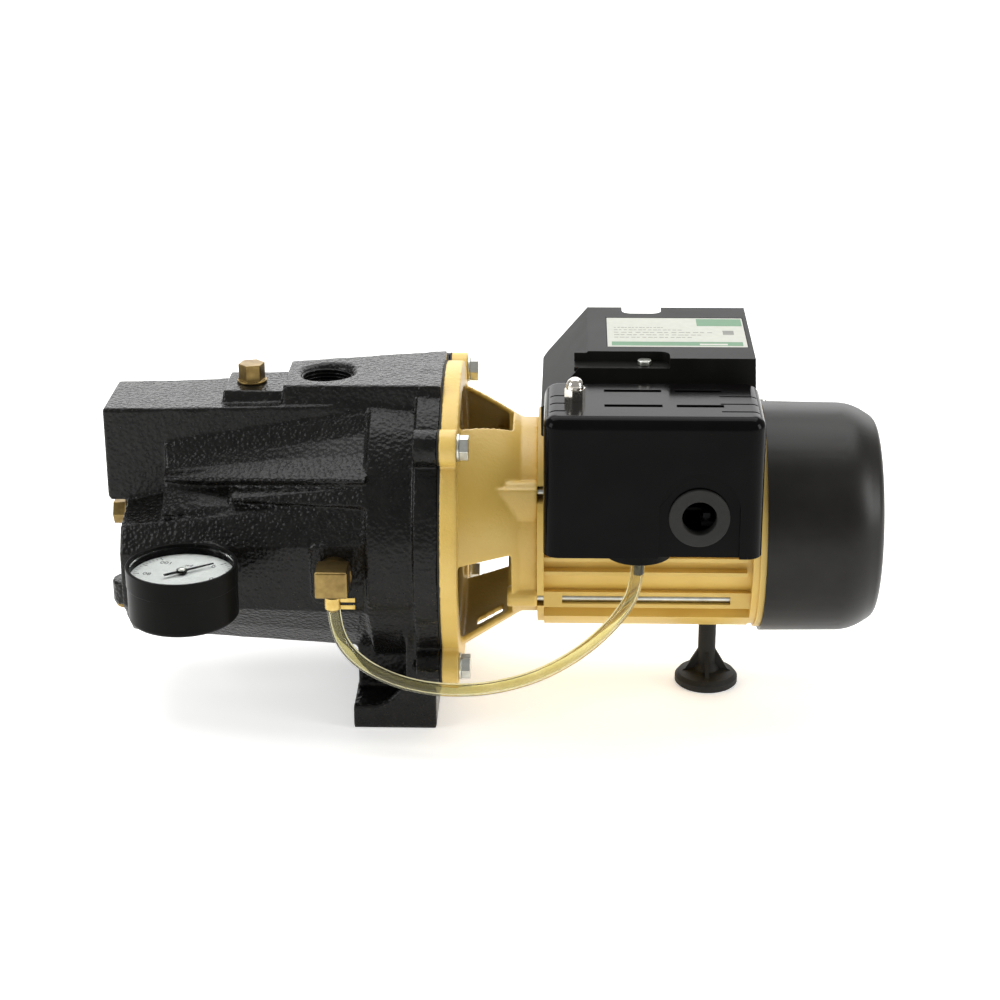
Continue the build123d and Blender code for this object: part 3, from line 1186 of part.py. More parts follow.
with BuildPart() as gauge_stem:
    gauge_peg(7.0, 22, gauge_r + 1)
    flats_at = gauge_plane.from_local_coords((0, gauge_r + 0.5, gauge_stem_z))
    with BuildSketch(Plane(origin=flats_at, x_dir=(0, 0, 1), z_dir=gauge_plane.y_dir)) as flats:
        RegularPolygon(7, 6, major_radius=False)
    extrude(flats.sketch, amount=gauge_boss_v - gauge_r - 1.5)
    gauge_peg(plug_thread_r, gauge_boss_v - 2, gauge_boss_v + 13)
    gauge_block(-6, 6, 13.5, 23.5, 97.5, 108.5)
    gauge_peg(2, 20, gauge_boss_v + 14, mode=Mode.SUBTRACT)
    # movement plates with the pivots of the arbor and the quadrant
    for z0, z1 in ((105.2, 106.2), (111.2, 112.2)):
        gauge_block(-24, 5, -4, 4, z0, z1)
        gauge_disc(0.9, z0 - 1, z1 + 1, mode=Mode.SUBTRACT)
        gauge_disc(0.9, z0 - 1, z1 + 1, quadrant_u, 0, mode=Mode.SUBTRACT)
    for u, v in ((-22.5, 0), (4, 3)):
        gauge_disc(1.0, 105.5, 111.8, u, v)
    gauge_block(-4, 4, 3.8, 14, 105.2, 106.2)
write(gauge_stem, "gauge_stem_and_frame")

with BuildPart() as gauge_quadrant:
    with BuildSketch(gauge_plane.offset(gear_z0)) as quadrant:
        with Locations((quadrant_u, 0)):
            Circle(2.4)
            for k in range(-10, 3):
                gear_tooth(quadrant_r - 0.3, (k - 0.5) * 360 / quadrant_teeth, 0.36)
        with BuildLine():
            rim = CenterArc((quadrant_u, 0), quadrant_r - 0.3, -37, 46)
            Line(rim @ 1, (quadrant_u, 0))
            Line((quadrant_u, 0), rim @ 0)
        make_face()
    extrude(quadrant.sketch, amount=gear_z1 - gear_z0)
    gauge_disc(0.8, 104.8, 112.6, quadrant_u, 0)
write(gauge_quadrant, "gauge_quadrant")

needle_z = dial_z + 2.0
zero_turn = gauge_turn + 45.0       # direction of the dial's zero mark
needle_plane = Plane(origin=(gauge_x, gauge_y, 0), z_dir=(0, 0, 1),
                     x_dir=(cos(radians(zero_turn)), sin(radians(zero_turn)), 0))
with BuildPart() as gauge_needle:
    gauge_disc(3.0, needle_z, needle_z + 1.6)
    with BuildSketch(needle_plane.offset(needle_z + 0.4)) as pointer:
        with BuildLine():
            Polyline((-11, -0.9), (-11, 0.9), (0, 1.1), (20, 0.3), (20, -0.3), (0, -1.1), close=True)
        make_face()
    extrude(pointer.sketch, amount=0.6)
    # arbor with its pinion, pressed into the needle's hub
    gauge_disc(0.8, 104.8, needle_z)
    with BuildSketch(gauge_plane.offset(gear_z0)) as pinion:
        Circle(pinion_r - 0.45)
        for k in range(pinion_teeth):
            gear_tooth(pinion_r - 0.3, 180 + k * 360 / pinion_teeth, 0.36)
    extrude(pinion.sketch, amount=gear_z1 - gear_z0)
write(gauge_needle, "gauge_needle_and_pinion")
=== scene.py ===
# %% [markdown]
# # A shallow well jet pump
# This lesson dresses a finished engineering model of a jet pump: a black cast-iron pump head, a cream
# enamelled motor, two black boxes, a gauge and a clear sensing tube. The model comes in as a fixed frame,
# so every piece here takes its place from that frame and nothing is fitted by eye.

# %% The fixed frame
import json
from math import cos, pi, radians, sin

import bmesh
import bpy
from mathutils import Euler, Matrix, Vector


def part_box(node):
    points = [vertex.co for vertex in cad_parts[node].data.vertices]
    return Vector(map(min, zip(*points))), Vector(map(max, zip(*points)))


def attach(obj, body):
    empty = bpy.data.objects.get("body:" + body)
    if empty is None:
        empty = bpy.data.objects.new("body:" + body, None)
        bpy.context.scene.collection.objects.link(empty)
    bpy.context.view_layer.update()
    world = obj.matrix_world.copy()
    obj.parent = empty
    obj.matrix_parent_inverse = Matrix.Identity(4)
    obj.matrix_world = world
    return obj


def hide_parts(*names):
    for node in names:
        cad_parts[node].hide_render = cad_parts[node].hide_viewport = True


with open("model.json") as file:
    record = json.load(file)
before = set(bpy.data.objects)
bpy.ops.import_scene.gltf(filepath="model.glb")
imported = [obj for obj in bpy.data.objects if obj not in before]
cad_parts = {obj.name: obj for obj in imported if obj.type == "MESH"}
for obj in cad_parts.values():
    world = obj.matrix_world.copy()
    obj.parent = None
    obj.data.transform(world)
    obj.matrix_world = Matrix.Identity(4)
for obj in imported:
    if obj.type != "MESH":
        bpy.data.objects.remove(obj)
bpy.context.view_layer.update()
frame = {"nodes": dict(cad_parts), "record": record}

MM = 0.001
nodes = frame["nodes"]
bodies = frame["record"]["behaviour"]["bodies"]
body_of_node = {node: body for body, members in bodies.items() for node in members}


# %% [markdown]
# ## The camera and the sensing tube
# A long lens from nearly a metre and a half away keeps the shapes close to a drawing's. It looks down by
# about twenty degrees, from a point in front of the gauge side.

# %% Camera
camera_data = bpy.data.cameras.new("Camera")
camera_data.lens = 82.5
camera_data.sensor_width = 36
camera = bpy.data.objects.new("Camera", camera_data)
bpy.context.scene.collection.objects.link(camera)
bpy.context.scene.camera = camera
camera.location = (0.1007, -1.3068, 0.6286)
looked_at = Vector((0.0584, 0.0, 0.1207))
aim = (looked_at - camera.location).to_track_quat("-Z", "Y")
camera.rotation_euler = (aim @ Euler((0, 0, radians(-0.24))).to_quaternion()).to_euler()
print("camera at", tuple(round(c, 3) for c in camera.location))

# %% [markdown]
# A clear vinyl tube carries the water pressure from the brass elbow to the pressure switch. It is soft
# enough to hang in one loose curve, so its centre line is a smooth spline through a short list of points.
# The tube is a curve with a round bevel, whose size comes from the radius of each point, and Solidify
# gives it a wall, because clear tube shows both its outside and its bore.

# %% Route of the tube
tube_route = [
    (-0.0355, -0.0950, 0.0980),
    (-0.0355, -0.0950, 0.0770),
    (-0.0245, -0.0970, 0.0585),
    (-0.0035, -0.1000, 0.0465),
    (0.0240, -0.1025, 0.0410),
    (0.0540, -0.1025, 0.0420),
    (0.0830, -0.0995, 0.0490),
    (0.1080, -0.0965, 0.0630),
    (0.1285, -0.0935, 0.0820),
    (0.1405, -0.0910, 0.1020),
    (0.1405, -0.0910, 0.1200),
]
tube_diameter = 8.0 * MM
tube_wall = 1.5 * MM


def spline_curve(name, points, radius):
    """A smooth round-section curve with these control points, each of which carries the radius."""
    curve = bpy.data.curves.new(name, "CURVE")
    curve.dimensions = "3D"
    curve.bevel_depth = 1
    curve.bevel_resolution = 6
    curve.resolution_u = 12
    spline = curve.splines.new("NURBS")
    spline.points.add(len(points) - 1)
    for place, point in zip(spline.points, points):
        place.co = (*point, 1)
        place.radius = radius
    spline.order_u = 3
    spline.use_endpoint_u = True
    piece = bpy.data.objects.new(name, curve)
    bpy.context.scene.collection.objects.link(piece)
    return piece


tube = spline_curve("sensing_tube", tube_route, tube_diameter / 2)
wall = tube.modifiers.new("Wall", "SOLIDIFY")
wall.thickness = tube_wall
wall.offset = -1
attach(tube, "pump")
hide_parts("pressure_tube")
print("tube:", len(tube_route), "points")


# %% [markdown]
# ## Tools for materials
# Colours are written as the hex values that a paint chart or a screen gives, and one function turns them
# into the linear light that the renderer works in. One small function adds a node, sets it and links it.

# %% Colour and node helpers
def linear(hex_colour):
    """sRGB hex to linear RGBA."""
    channels = [int(hex_colour[k:k + 2], 16) / 255 for k in (1, 3, 5)]
    return [c / 12.92 if c <= 0.04045 else ((c + 0.055) / 1.055) ** 2.4 for c in channels] + [1.0]


def add(tree, kind, settings=None, **inputs):
    """Adds a node. Settings are its properties; an input takes a value or another node's output."""
    node = tree.nodes.new(kind)
    for name, value in (settings or {}).items():
        setattr(node, name, value)
    for name, value in inputs.items():
        socket = node.inputs[int(name[1:])] if name[1:].isdigit() else node.inputs[name.replace("_", " ")]
        if isinstance(value, bpy.types.NodeSocket):
            tree.links.new(value, socket)
        else:
            socket.default_value = value
    return node


def new_material(name, **values):
    """A material with its shader's uniform values set on the shader itself."""
    material = bpy.data.materials.new(name)
    material.use_nodes = True
    shader = material.node_tree.nodes["Principled BSDF"]
    for key, value in values.items():
        shader.inputs[key.replace("_", " ")].default_value = value
    return material, material.node_tree, shader


def object_coordinates(tree):
    return add(tree, "ShaderNodeTexCoord").outputs["Object"]


def ramp(tree, factor, stops):
    """A colour ramp from (position, hex colour) pairs."""
    node = add(tree, "ShaderNodeValToRGB", Fac=factor)
    elements = node.color_ramp.elements
    while len(elements) < len(stops):
        elements.new(0.5)
    for element, (position, colour) in zip(elements, stops):
        element.position = position
        element.color = linear(colour)
    return node.outputs["Color"]


def spread(tree, factor, low, high):
    """Maps a 0 to 1 pattern onto a range of values."""
    return add(tree, "ShaderNodeMapRange", Value=factor, To_Min=low, To_Max=high).outputs["Result"]


def noise(tree, grain, detail=2.0, place=None):
    """Cloudy noise whose lumps are about one grain across, in metres."""
    return add(tree, "ShaderNodeTexNoise", Vector=place or object_coordinates(tree), Scale=1 / grain,
               Detail=detail, Roughness=0.5).outputs["Fac"]


def bump(tree, shader, *layers):
    """Stacks bumps, each a (height pattern, depth in metres) pair, onto the shader's normal."""
    normal = None
    for height, depth in layers:
        node = add(tree, "ShaderNodeBump", Height=height, Distance=depth, Strength=1.0)
        if normal:
            tree.links.new(normal, node.inputs["Normal"])
        normal = node.outputs["Normal"]
    tree.links.new(normal, shader.inputs["Normal"])


# %% [markdown]
# ## Painted cast iron
# The pump head is sand-cast grey iron, dipped or sprayed in thick black paint. The sand leaves a skin of
# rounded grains about two millimetres across, and the paint fills it to an orange peel that glints. The
# shader's specular level is low, so that upright faces stay black while the grains still catch the light.

# %% Painted cast iron
black_iron, tree, shader = new_material("painted_cast_iron", IOR=1.45, Specular_IOR_Level=0.15,
                                        Coat_Weight=0.15, Coat_Roughness=0.12)
place = object_coordinates(tree)
peel = add(tree, "ShaderNodeTexVoronoi", {"feature": "SMOOTH_F1"}, Vector=place, Scale=1 / (2.3 * MM),
           Smoothness=0.7).outputs["Distance"]
waves = noise(tree, 7 * MM, 3, place=place)
grit = noise(tree, 1.1 * MM, 2, place=place)
bump(tree, shader, (waves, 0.2 * MM), (peel, 0.65 * MM), (grit, 0.2 * MM))
tree.links.new(ramp(tree, waves, [(0.3, "#0d0d0c"), (0.7, "#181716")]), shader.inputs["Base Color"])
tree.links.new(spread(tree, grit, 0.16, 0.3), shader.inputs["Roughness"])

# %% [markdown]
# ## Cream enamel
# The motor and its bracket are die-cast aluminium under a yellow-cream enamel. The paint is smoother than
# the iron's, with a faint sprayed ripple, and its gloss and colour drift a little from place to place.

# %% Cream enamel
def enamel(name, ripple_depth):
    """Yellow-cream enamel over a casting, with a ripple of this depth."""
    material, tree, shader = new_material(name, IOR=1.5, Coat_Weight=0.15, Coat_Roughness=0.3)
    place = object_coordinates(tree)
    clouds = noise(tree, 30 * MM, 3, place=place)
    ripple = noise(tree, 2.2 * MM, 2, place=place)
    fine = noise(tree, 0.8 * MM, 1, place=place)
    bump(tree, shader, (ripple, ripple_depth), (fine, 0.06 * MM))
    tree.links.new(ramp(tree, clouds, [(0.3, "#d3b055"), (0.7, "#dcbb63")]), shader.inputs["Base Color"])
    tree.links.new(spread(tree, clouds, 0.38, 0.5), shader.inputs["Roughness"])
    return material


cast_enamel = enamel("cream_enamel_on_casting", 0.22 * MM)
smooth_enamel = enamel("cream_enamel", 0.08 * MM)

# %% [markdown]
# ## Moulded plastics and rubber
# The switch cover is glossy black ABS. The fan cover and the capacitor box are black polypropylene with a
# spark-eroded satin skin, so their highlights are wide and grey. Each has a low specular level, since a
# pale floor would otherwise turn its upright faces grey.

# %% Plastics and rubber
def moulded(name, colour, roughness, grain, depth, coat=0.0, shine=0.1):
    """Moulded plastic or rubber: one colour, a skin of this grain and depth, and uneven gloss."""
    material, tree, shader = new_material(name, IOR=1.38, Specular_IOR_Level=shine, Coat_Weight=coat,
                                          Coat_Roughness=0.08, Coat_IOR=1.3)
    place = object_coordinates(tree)
    skin = noise(tree, grain, 2, place=place)
    wear = noise(tree, 25 * MM, 4, place=place)
    bump(tree, shader, (skin, depth))
    lighter = "#%02x%02x%02x" % tuple(min(255, int(int(colour[k:k + 2], 16) * 1.25) + 3) for k in (1, 3, 5))
    tree.links.new(ramp(tree, wear, [(0.35, colour), (0.75, lighter)]), shader.inputs["Base Color"])
    tree.links.new(spread(tree, wear, roughness - 0.05, roughness + 0.06), shader.inputs["Roughness"])
    return material


gloss_abs = moulded("glossy_black_abs", "#070606", 0.15, 3 * MM, 0.015 * MM, coat=0.05, shine=0.08)
satin_black = moulded("satin_black_polypropylene", "#161513", 0.36, 0.6 * MM, 0.03 * MM, shine=0.35)
box_black = moulded("eroded_black_polypropylene", "#131311", 0.42, 0.7 * MM, 0.06 * MM)
gauge_black = moulded("black_stove_enamel", "#0a0a09", 0.33, 0.8 * MM, 0.03 * MM)
rubber = moulded("black_rubber", "#1e1e1c", 0.62, 1.2 * MM, 0.08 * MM, shine=0.4)
dark_plastic = moulded("glass_filled_nylon", "#1d1d1f", 0.5, 1.0 * MM, 0.05 * MM)
white_plastic = moulded("white_nylon", "#cfcdc4", 0.45, 1.0 * MM, 0.04 * MM, shine=0.4)

# %% [markdown]
# ## Metals
# Brass fittings have been handled, so they are brown in places. The bolts are bright zinc, which is soft
# and pale. The acorn nut is polished nickel and the hose clamp is yellow-passivated zinc.

# %% Metals
def metal(name, low, high, roughness, grain=6 * MM, depth=0.03 * MM):
    """Bare or plated metal, mottled between two colours."""
    material, tree, shader = new_material(name, Metallic=1.0)
    place = object_coordinates(tree)
    mottle = noise(tree, grain, 4, place=place)
    fine = noise(tree, 0.9 * MM, 2, place=place)
    bump(tree, shader, (fine, depth))
    tree.links.new(ramp(tree, mottle, [(0.3, low), (0.7, high)]), shader.inputs["Base Color"])
    tree.links.new(spread(tree, mottle, roughness + 0.08, roughness - 0.05), shader.inputs["Roughness"])
    return material


brass = metal("aged_brass", "#75603a", "#96804f", 0.34)
bright_brass = metal("turned_brass", "#a88842", "#c9a75c", 0.28)
zinc = metal("bright_zinc_plate", "#b9bab2", "#d6d7cf", 0.3)
nickel = metal("polished_nickel", "#c4bfb4", "#e0dcd2", 0.12)
yellow_zinc = metal("yellow_passivated_zinc", "#b89a52", "#d8bd78", 0.3)
steel = metal("ground_steel", "#8e8f90", "#adaeb0", 0.3)
dark_steel = metal("blackened_steel", "#2c2b2a", "#3a3938", 0.35)
laminations = metal("stacked_laminations", "#56575a", "#737478", 0.45)
copper = metal("enamelled_copper_wire", "#7a3318", "#a1502a", 0.35, 3 * MM, 0.2 * MM)

# %% [markdown]
# ## Clear plastics, print and paper
# Clear vinyl transmits most light but keeps a yellow-green tint in its wall. The gauge's window is thin
# and colourless, so it hardly shows except for its reflection.

# %% Clear plastics and print
clear_vinyl, tree, shader = new_material("clear_vinyl", Transmission_Weight=0.95, IOR=1.3, Roughness=0.05)
cloud = noise(tree, 12 * MM, 2)
tree.links.new(ramp(tree, cloud, [(0.3, "#e2dcae"), (0.7, "#ebe6c2")]), shader.inputs["Base Color"])
tube.data.materials.append(clear_vinyl)

window_clear, tree, shader = new_material("clear_polycarbonate", Transmission_Weight=1.0, IOR=1.1,
                                          Roughness=0.02, Coat_Weight=0.25, Coat_Roughness=0.03)
shader.inputs["Base Color"].default_value = linear("#fbfcfc")


def printed(name, colour, roughness=0.42):
    """Ink or a printed film: one colour with a faint mottle."""
    material, tree, shader = new_material(name, Roughness=roughness, Specular_IOR_Level=0.2)
    mottle = noise(tree, 4 * MM, 3)
    darker = "#%02x%02x%02x" % tuple(int(int(colour[k:k + 2], 16) * 0.96) for k in (1, 3, 5))
    tree.links.new(ramp(tree, mottle, [(0.3, darker), (0.7, colour)]), shader.inputs["Base Color"])
    return material


dial_white = printed("dial_white_enamel", "#e4e7e3")
ink_black = printed("black_ink", "#191919")
label_white = printed("white_label_film", "#adaea3")
label_green = printed("green_ink", "#4f7a57")
label_grey = printed("grey_ink", "#6c6e66")


# %% [markdown]
# ## Softening the machined pieces
# A mesh that comes from an exact model has edges as sharp as a razor, and real edges catch the light. Each
# visible piece is copied, its loose triangles are welded, flat areas are cleaned, and a small bevel rounds
# the sharp edges. The frame's own mesh is never touched.

# %% Welded copies with soft edges
def welded_copy(node, name):
    """A copy of a frame node's mesh with its corners joined and its flat areas made single faces."""
    shape = bmesh.new()
    shape.from_mesh(nodes[node].data)
    bmesh.ops.remove_doubles(shape, verts=shape.verts, dist=0.002 * MM)
    bmesh.ops.dissolve_limit(shape, angle_limit=radians(0.5), verts=shape.verts, edges=shape.edges)
    mesh = bpy.data.meshes.new(name)
    shape.to_mesh(mesh)
    shape.free()
    piece = bpy.data.objects.new(name, mesh)
    bpy.context.scene.collection.objects.link(piece)
    return piece


def stands_for(piece, node, material):
    """The piece takes the node's place, body, slot and finish."""
    piece.data.materials.clear()
    piece.data.materials.append(material)
    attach(piece, body_of_node[node])
    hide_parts(node)
    return piece


def softened(node, material, width, segments=2, sharp=32):
    """A copy of the node with its edges rounded by this width, in metres."""
    piece = welded_copy(node, node + "_finished")
    piece.data.shade_smooth()
    bevel = piece.modifiers.new("Soft edges", "BEVEL")
    bevel.width = width
    bevel.segments = segments
    bevel.limit_method = "ANGLE"
    bevel.angle_limit = radians(sharp)
    shading = piece.modifiers.new("Flat faces stay flat", "WEIGHTED_NORMAL")
    shading.keep_sharp = False
    return stands_for(piece, node, material)


soft_pieces = {
    "motor_frame": (smooth_enamel, 0.5 * MM), "rear_shield": (smooth_enamel, 0.4 * MM),
    "switch_cover": (gloss_abs, 0.8 * MM), "fan_cover": (satin_black, 0.5 * MM),
    "capacitor_box_cover": (box_black, 0.8 * MM), "capacitor_box_base": (box_black, 0.5 * MM),
    "gauge_case": (gauge_black, 0.3 * MM), "gauge_bezel": (gauge_black, 0.35 * MM),
    "priming_and_drain_plugs": (brass, 0.5 * MM), "nozzle_access_plug": (brass, 0.5 * MM),
    "elbow_fitting": (brass, 0.4 * MM), "gauge_stem_and_frame": (bright_brass, 0.3 * MM),
    "flange_bolts_and_washers": (zinc, 0.4 * MM), "tie_rods_and_nuts": (zinc, 0.25 * MM),
    "cover_screws": (zinc, 0.3 * MM), "switch_acorn_nut": (nickel, 0.25 * MM),
    "hose_clamp": (yellow_zinc, 0.12 * MM), "motor_foot": (rubber, 0.6 * MM),
    "switch_grommet": (rubber, 0.6 * MM), "switch_port_dome": (gauge_black, 0.4 * MM),
    "switch_base": (gauge_black, 0.2 * MM),
}
for node, (material, width) in soft_pieces.items():
    softened(node, material, width)
print("softened:", len(soft_pieces), "pieces")

# %% [markdown]
# ## Castings
# Iron and aluminium castings have no sharp edge anywhere: the sand and the paint round each corner by a
# millimetre or two and fill each groove. Voxel remeshing turns the exact model into an even skin that can
# be smoothed like that, and Decimate then thins it where it is flat.

# %% Cast skins
def cast_skin(node, material, voxel, rounds, keep):
    """A copy of the node as a casting: an even skin, smoothed, then thinned to this share of its faces."""
    piece = welded_copy(node, node + "_casting")
    stands_for(piece, node, material)
    remesh = piece.modifiers.new("Skin", "REMESH")
    remesh.mode = "VOXEL"
    remesh.voxel_size = voxel
    remesh.use_smooth_shade = True
    smooth = piece.modifiers.new("Sanded", "SMOOTH")
    smooth.factor = 0.5
    smooth.iterations = rounds
    thin = piece.modifiers.new("Thinned", "DECIMATE")
    thin.ratio = keep
    bpy.context.view_layer.update()
    mesh = bpy.data.meshes.new_from_object(piece.evaluated_get(bpy.context.evaluated_depsgraph_get()))
    piece.modifiers.clear()
    piece.data = mesh
    mesh.materials.clear()
    mesh.materials.append(material)
    mesh.shade_smooth()
    print(piece.name, len(mesh.polygons), "faces")
    return piece


cast_skin("pump_casing", black_iron, 1.25 * MM, 2, 0.35)
cast_skin("motor_bracket", cast_enamel, 1.0 * MM, 3, 0.5)

# %% [markdown]
# ## Inner pieces
# What can be seen through the lantern's windows, the fan's vents and the ports keeps the frame's own mesh
# and only needs its finish.

# %% Finishes of the inner pieces
inner_finishes = {
    "motor_shaft": steel, "bearing_inner_races": steel, "bearing_outer_races": steel,
    "front_bearing_balls_and_cage": steel, "rear_bearing_balls_and_cage": steel, "bearing_wave_spring": steel,
    "shaft_seal_cartridge": steel, "switch_range_spring": dark_steel, "switch_studs_and_pins": dark_steel,
    "switch_lever": dark_steel, "switch_plunger": dark_steel, "impeller_nut_and_key": bright_brass,
    "bourdon_tube": bright_brass, "gauge_quadrant": bright_brass, "gauge_needle_and_pinion": dark_steel,
    "seal_plate": black_iron, "shaft_slinger": rubber, "switch_diaphragm": rubber, "venturi_o_ring": rubber,
    "casing_gasket": rubber, "impeller": dark_plastic, "diffuser": dark_plastic,
    "ejector_nozzle": dark_plastic, "venturi_tube": dark_plastic, "cooling_fan": dark_plastic,
    "switch_terminal_block": dark_plastic,
    "switch_contact_bar": dark_plastic, "run_capacitor": white_plastic, "box_terminal_block": white_plastic,
    "seal_seat": white_plastic, "stator_core": laminations, "rotor_core": laminations,
    "stator_windings": copper, "gauge_dial": dial_white, "gauge_window": window_clear,
    "rating_label": label_white,
}
for node, material in inner_finishes.items():
    mesh = nodes[node].data
    for index in range(max(1, len(mesh.materials))):
        if mesh.materials:
            mesh.materials[index] = material
        else:
            mesh.materials.append(material)
print("inner finishes:", len(inner_finishes))


# %% [markdown]
# ## The gauge's dial
# The scale runs from 0 to 100 psi over three quarters of a turn, clockwise. Its figures stand upright for a
# reader who has the stem at the bottom. Marks are thin raised bars and figures are text turned into mesh,
# both a few hundredths of a millimetre proud, as screen-printed ink is.

# %% Dial marks and figures
dial_low, dial_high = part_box("gauge_dial")
dial_centre = (dial_low + dial_high) / 2
dial_top = dial_high.z
dial_turn = radians(-10)
scale_start = radians(45)
scale_sweep = radians(270)
scale_end = 100
ink_height = 0.06 * MM


def dial_angle(value):
    return dial_turn + scale_start - scale_sweep * value / scale_end


def new_piece(name, shape, material, body):
    """Turns a bmesh into a finished piece on a body."""
    mesh = bpy.data.meshes.new(name)
    shape.to_mesh(mesh)
    shape.free()
    piece = bpy.data.objects.new(name, mesh)
    bpy.context.scene.collection.objects.link(piece)
    mesh.materials.append(material)
    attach(piece, body)
    return piece


def add_bar(shape, centre, size, turn=0.0):
    """Adds a box of this size to a bmesh, turned about the vertical."""
    place = Matrix.Translation(centre) @ Matrix.Rotation(turn, 4, "Z") @ Matrix.Diagonal((*size, 1))
    bmesh.ops.create_cube(shape, size=1, matrix=place)


marks = bmesh.new()
for value in range(0, scale_end + 1, 2):
    long_mark = value % 10 == 0
    outer = 28.0 * MM
    length = (3.4 if long_mark else 1.7) * MM
    angle = dial_angle(value)
    middle = outer - length / 2
    centre = dial_centre + Vector((middle * cos(angle), middle * sin(angle), 0))
    centre.z = dial_top + ink_height / 2
    add_bar(marks, centre, (length, (0.55 if long_mark else 0.28) * MM, ink_height), angle)
new_piece("dial_marks", marks, ink_black, "pump")


def printed_text(name, words, height, place, turn, material, body):
    """Text as thin mesh, centred at a place in the frame."""
    text = bpy.data.curves.new(name, "FONT")
    text.body = words
    text.size = height
    text.align_x = "CENTER"
    text.align_y = "CENTER"
    text.extrude = ink_height / 2
    source = bpy.data.objects.new(name + "_source", text)
    bpy.context.scene.collection.objects.link(source)
    bpy.context.view_layer.update()
    mesh = bpy.data.meshes.new_from_object(source.evaluated_get(bpy.context.evaluated_depsgraph_get()))
    bpy.data.objects.remove(source)
    mesh.transform(Matrix.Translation(place) @ Matrix.Rotation(turn, 4, "Z"))
    mesh.name = name
    mesh.materials.clear()
    mesh.materials.append(material)
    piece = bpy.data.objects.new(name, mesh)
    bpy.context.scene.collection.objects.link(piece)
    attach(piece, body)
    return piece


figure_r = 20.0 * MM
for value in range(0, scale_end + 1, 20):
    angle = dial_angle(value)
    spot = dial_centre + Vector((figure_r * cos(angle), figure_r * sin(angle), 0))
    spot.z = dial_top + ink_height / 2
    printed_text("dial_figure_%d" % value, str(value), 5.0 * MM, spot, dial_turn + pi, ink_black,
                 "pump")
unit_r = 12.0 * MM
psi_spot = dial_centre + Vector((unit_r * cos(dial_turn + pi / 2), unit_r * sin(dial_turn + pi / 2), 0))
psi_spot.z = dial_top + ink_height / 2
printed_text("dial_unit", "psi", 4.0 * MM, psi_spot, dial_turn + pi, ink_black, "pump")

# %% [markdown]
# A small bright cap covers the hub of the needle. It is half of a flattened sphere, so it is made by
# spinning a quarter arc.

# %% Cap on the needle's hub
needle_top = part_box("gauge_needle_and_pinion")[1].z
cap = bmesh.new()
cap_r = 2.4 * MM
arc = [cap.verts.new((cap_r * cos(a), 0, 0.5 * cap_r * sin(a))) for a in (radians(15 * k) for k in range(7))]
for a, b in zip(arc, arc[1:]):
    cap.edges.new((a, b))
bmesh.ops.spin(cap, geom=cap.verts[:] + cap.edges[:], cent=(0, 0, 0), axis=(0, 0, 1), angle=2 * pi, steps=24,
               use_merge=True)
bmesh.ops.remove_doubles(cap, verts=cap.verts, dist=0.01 * MM)
bmesh.ops.recalc_face_normals(cap, faces=cap.faces)
bmesh.ops.translate(cap, verts=cap.verts, vec=(dial_centre.x, dial_centre.y, needle_top - 0.02 * MM))
new_piece("needle_cap", cap, zinc, "gauge_pointer").data.shade_smooth()
print("dial printed")


# %% [markdown]
# ## The rating label
# A printed film sits in a shallow recess on top of the capacitor box. Its layout is generic: a green panel
# in one corner, a green band along the near edge and grey rules where small print would be.

# %% Label print
label_low, label_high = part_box("rating_label")
label_size = label_high - label_low


def label_patch(name, x0, x1, y0, y1, material, layer=1):
    """A printed patch between shares of the label's width (from the left) and depth (from the near edge)."""
    shape = bmesh.new()
    low = Vector((label_low.x + x0 * label_size.x, label_low.y + y0 * label_size.y, 0))
    high = Vector((label_low.x + x1 * label_size.x, label_low.y + y1 * label_size.y, 0))
    centre = (low + high) / 2
    centre.z = label_high.z + layer * 0.02 * MM
    add_bar(shape, centre, (high.x - low.x, high.y - low.y, 0.02 * MM))
    return new_piece(name, shape, material, "pump")


label_patch("label_green_panel", 0.66, 0.99, 0.72, 0.97, label_green)
label_patch("label_green_band", 0.03, 0.97, 0.04, 0.17, label_green)
label_patch("label_white_gap", 0.66, 0.86, 0.06, 0.11, label_white, layer=2)
label_patch("label_badge", 0.84, 0.92, 0.42, 0.56, label_grey)
rules = bmesh.new()
rule_start = 0.05
rule_ends = (0.42, 0.55, 0.78, 0.70, 0.62)
steps = 14
for row, stop in enumerate(rule_ends):
    for k in range(steps):
        left = rule_start + (stop - rule_start) * k / steps
        width = (stop - rule_start) / steps * (0.55 + 0.3 * ((k * 7 + row * 3) % 5) / 4)
        centre = Vector((label_low.x + (left + width / 2) * label_size.x,
                         label_low.y + (0.66 - 0.085 * row) * label_size.y, label_high.z + 0.02 * MM))
        add_bar(rules, centre, (width * label_size.x, 1.0 * MM, 0.02 * MM))
new_piece("label_small_print", rules, label_grey, "pump")
print("label printed")

# %% [markdown]
# ## Threads in the ports
# The suction and discharge ports are tapped for pipe. A thread is a ridge that climbs one pitch each turn,
# so a small triangular profile is spun with a step along the axis.

# %% Port threads
def thread(name, start, axis, radius, depth, pitch, turns, material):
    """A helical ridge inside a bore, from start along axis."""
    shape = bmesh.new()
    corners = [shape.verts.new(p) for p in ((radius + 0.3 * MM, 0, 0), (radius - depth, 0, pitch / 2),
                                            (radius + 0.3 * MM, 0, pitch))]
    shape.faces.new(corners)
    steps = 32
    profile = shape.verts[:] + shape.edges[:] + shape.faces[:]
    bmesh.ops.spin(shape, geom=profile, cent=(0, 0, 0), axis=(0, 0, 1), dvec=(0, 0, pitch / steps),
                   angle=2 * pi * turns, steps=steps * turns, use_merge=False)
    bmesh.ops.recalc_face_normals(shape, faces=shape.faces)
    turn = Vector((0, 0, 1)).rotation_difference(Vector(axis)).to_matrix().to_4x4()
    bmesh.ops.transform(shape, matrix=Matrix.Translation(start) @ turn, verts=shape.verts)
    piece = new_piece(name, shape, material, "pump")
    piece.data.shade_smooth()
    return piece


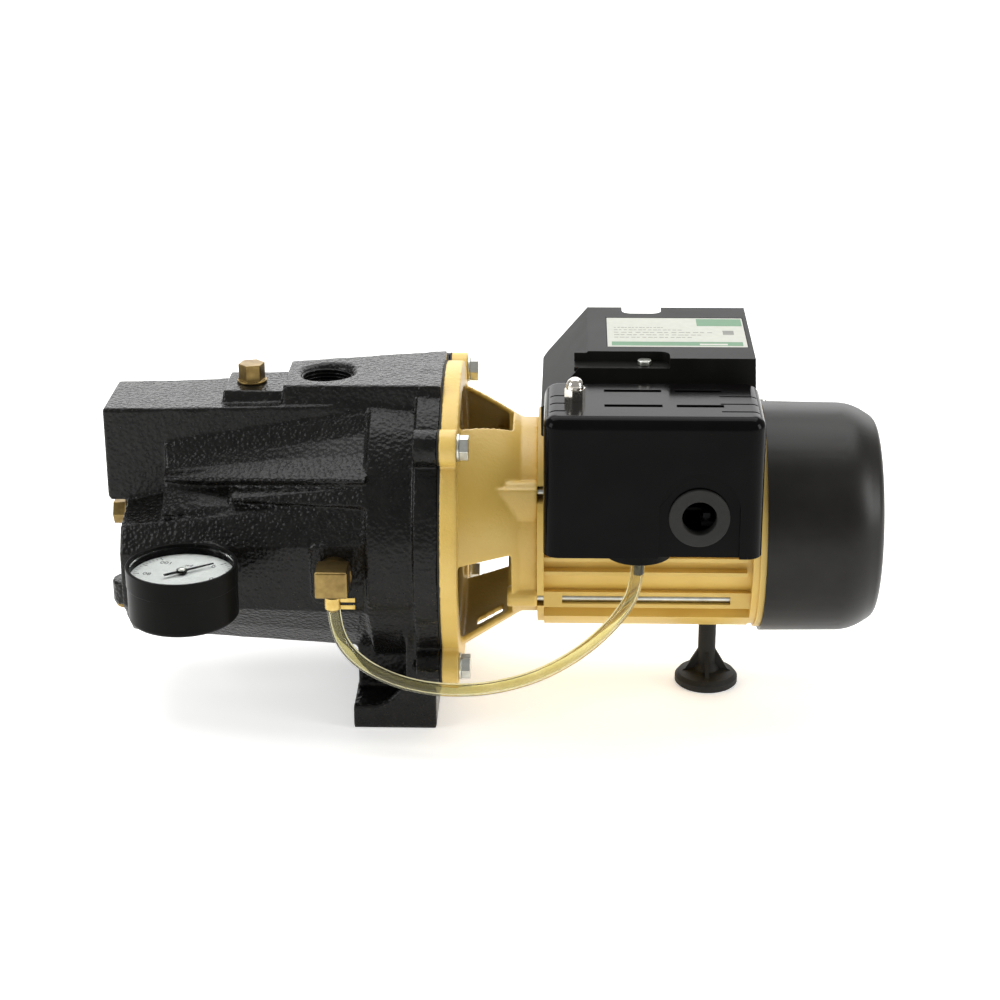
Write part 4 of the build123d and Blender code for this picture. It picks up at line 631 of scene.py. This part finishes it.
mounts = {m["name"]: m for m in frame["record"]["mounts"]}
pipe_pitch = 25.4 * MM / 11.5
thread_depth = 0.9 * MM
for port, turns in (("discharge", 8), ("suction", 11)):
    mount = mounts[port]
    radius = mount["dims"]["r_mm"] * MM
    outward = Vector(mount["axis"])
    start = Vector(mount["pos_m"]) - outward * (turns * pipe_pitch + 0.6 * MM)
    thread(port + "_thread", start, outward, radius, thread_depth, pipe_pitch, turns, black_iron)
print("threads cut")

# %% [markdown]
# ## Floor and light
# The pump stands on a pale, faintly glowing floor that runs past every edge of the view. One softbox hangs
# overhead and a wide one stands behind, so that upward faces shine, with a weaker one at each side.

# %% Floor, lights and sky
floor_shape = bmesh.new()
bmesh.ops.create_circle(floor_shape, cap_ends=True, segments=64, radius=8)
floor_mesh = bpy.data.meshes.new("floor")
floor_shape.to_mesh(floor_mesh)
floor_shape.free()
floor = bpy.data.objects.new("floor", floor_mesh)
bpy.context.scene.collection.objects.link(floor)
floor_material, tree, shader = new_material("pale_floor", Roughness=1.0, Specular_IOR_Level=0.0,
                                            Emission_Strength=0.42)
shader.inputs["Base Color"].default_value = linear("#f4f4f2")
shader.inputs["Emission Color"].default_value = linear("#ffffff")
floor_mesh.materials.append(floor_material)


def softbox(name, place, target, size, power):
    light_data = bpy.data.lights.new(name, "AREA")
    light_data.shape = "RECTANGLE"
    light_data.size, light_data.size_y = size
    light_data.energy = power
    light = bpy.data.objects.new(name, light_data)
    bpy.context.scene.collection.objects.link(light)
    light.location = place
    light.rotation_euler = (Vector(target) - Vector(place)).to_track_quat("-Z", "Y").to_euler()


softbox("overhead", (0.05, 0.35, 1.2), (0.05, 0, 0.1), (1.6, 0.9), 15)
softbox("behind", (0.05, 2.5, 1.1), (0.05, 0, 0.1), (4.0, 1.6), 42)
softbox("left", (-1.5, -0.6, 0.8), (0, 0, 0.1), (0.8, 0.9), 13)
softbox("right", (1.6, -0.5, 0.7), (0.15, 0, 0.1), (0.5, 0.9), 13)
world = bpy.data.worlds.new("studio")
world.use_nodes = True
world.node_tree.nodes["Background"].inputs["Color"].default_value = linear("#ffffff")
world.node_tree.nodes["Background"].inputs["Strength"].default_value = 0.42
bpy.context.scene.world = world
bpy.context.scene.view_settings.view_transform = "Standard"
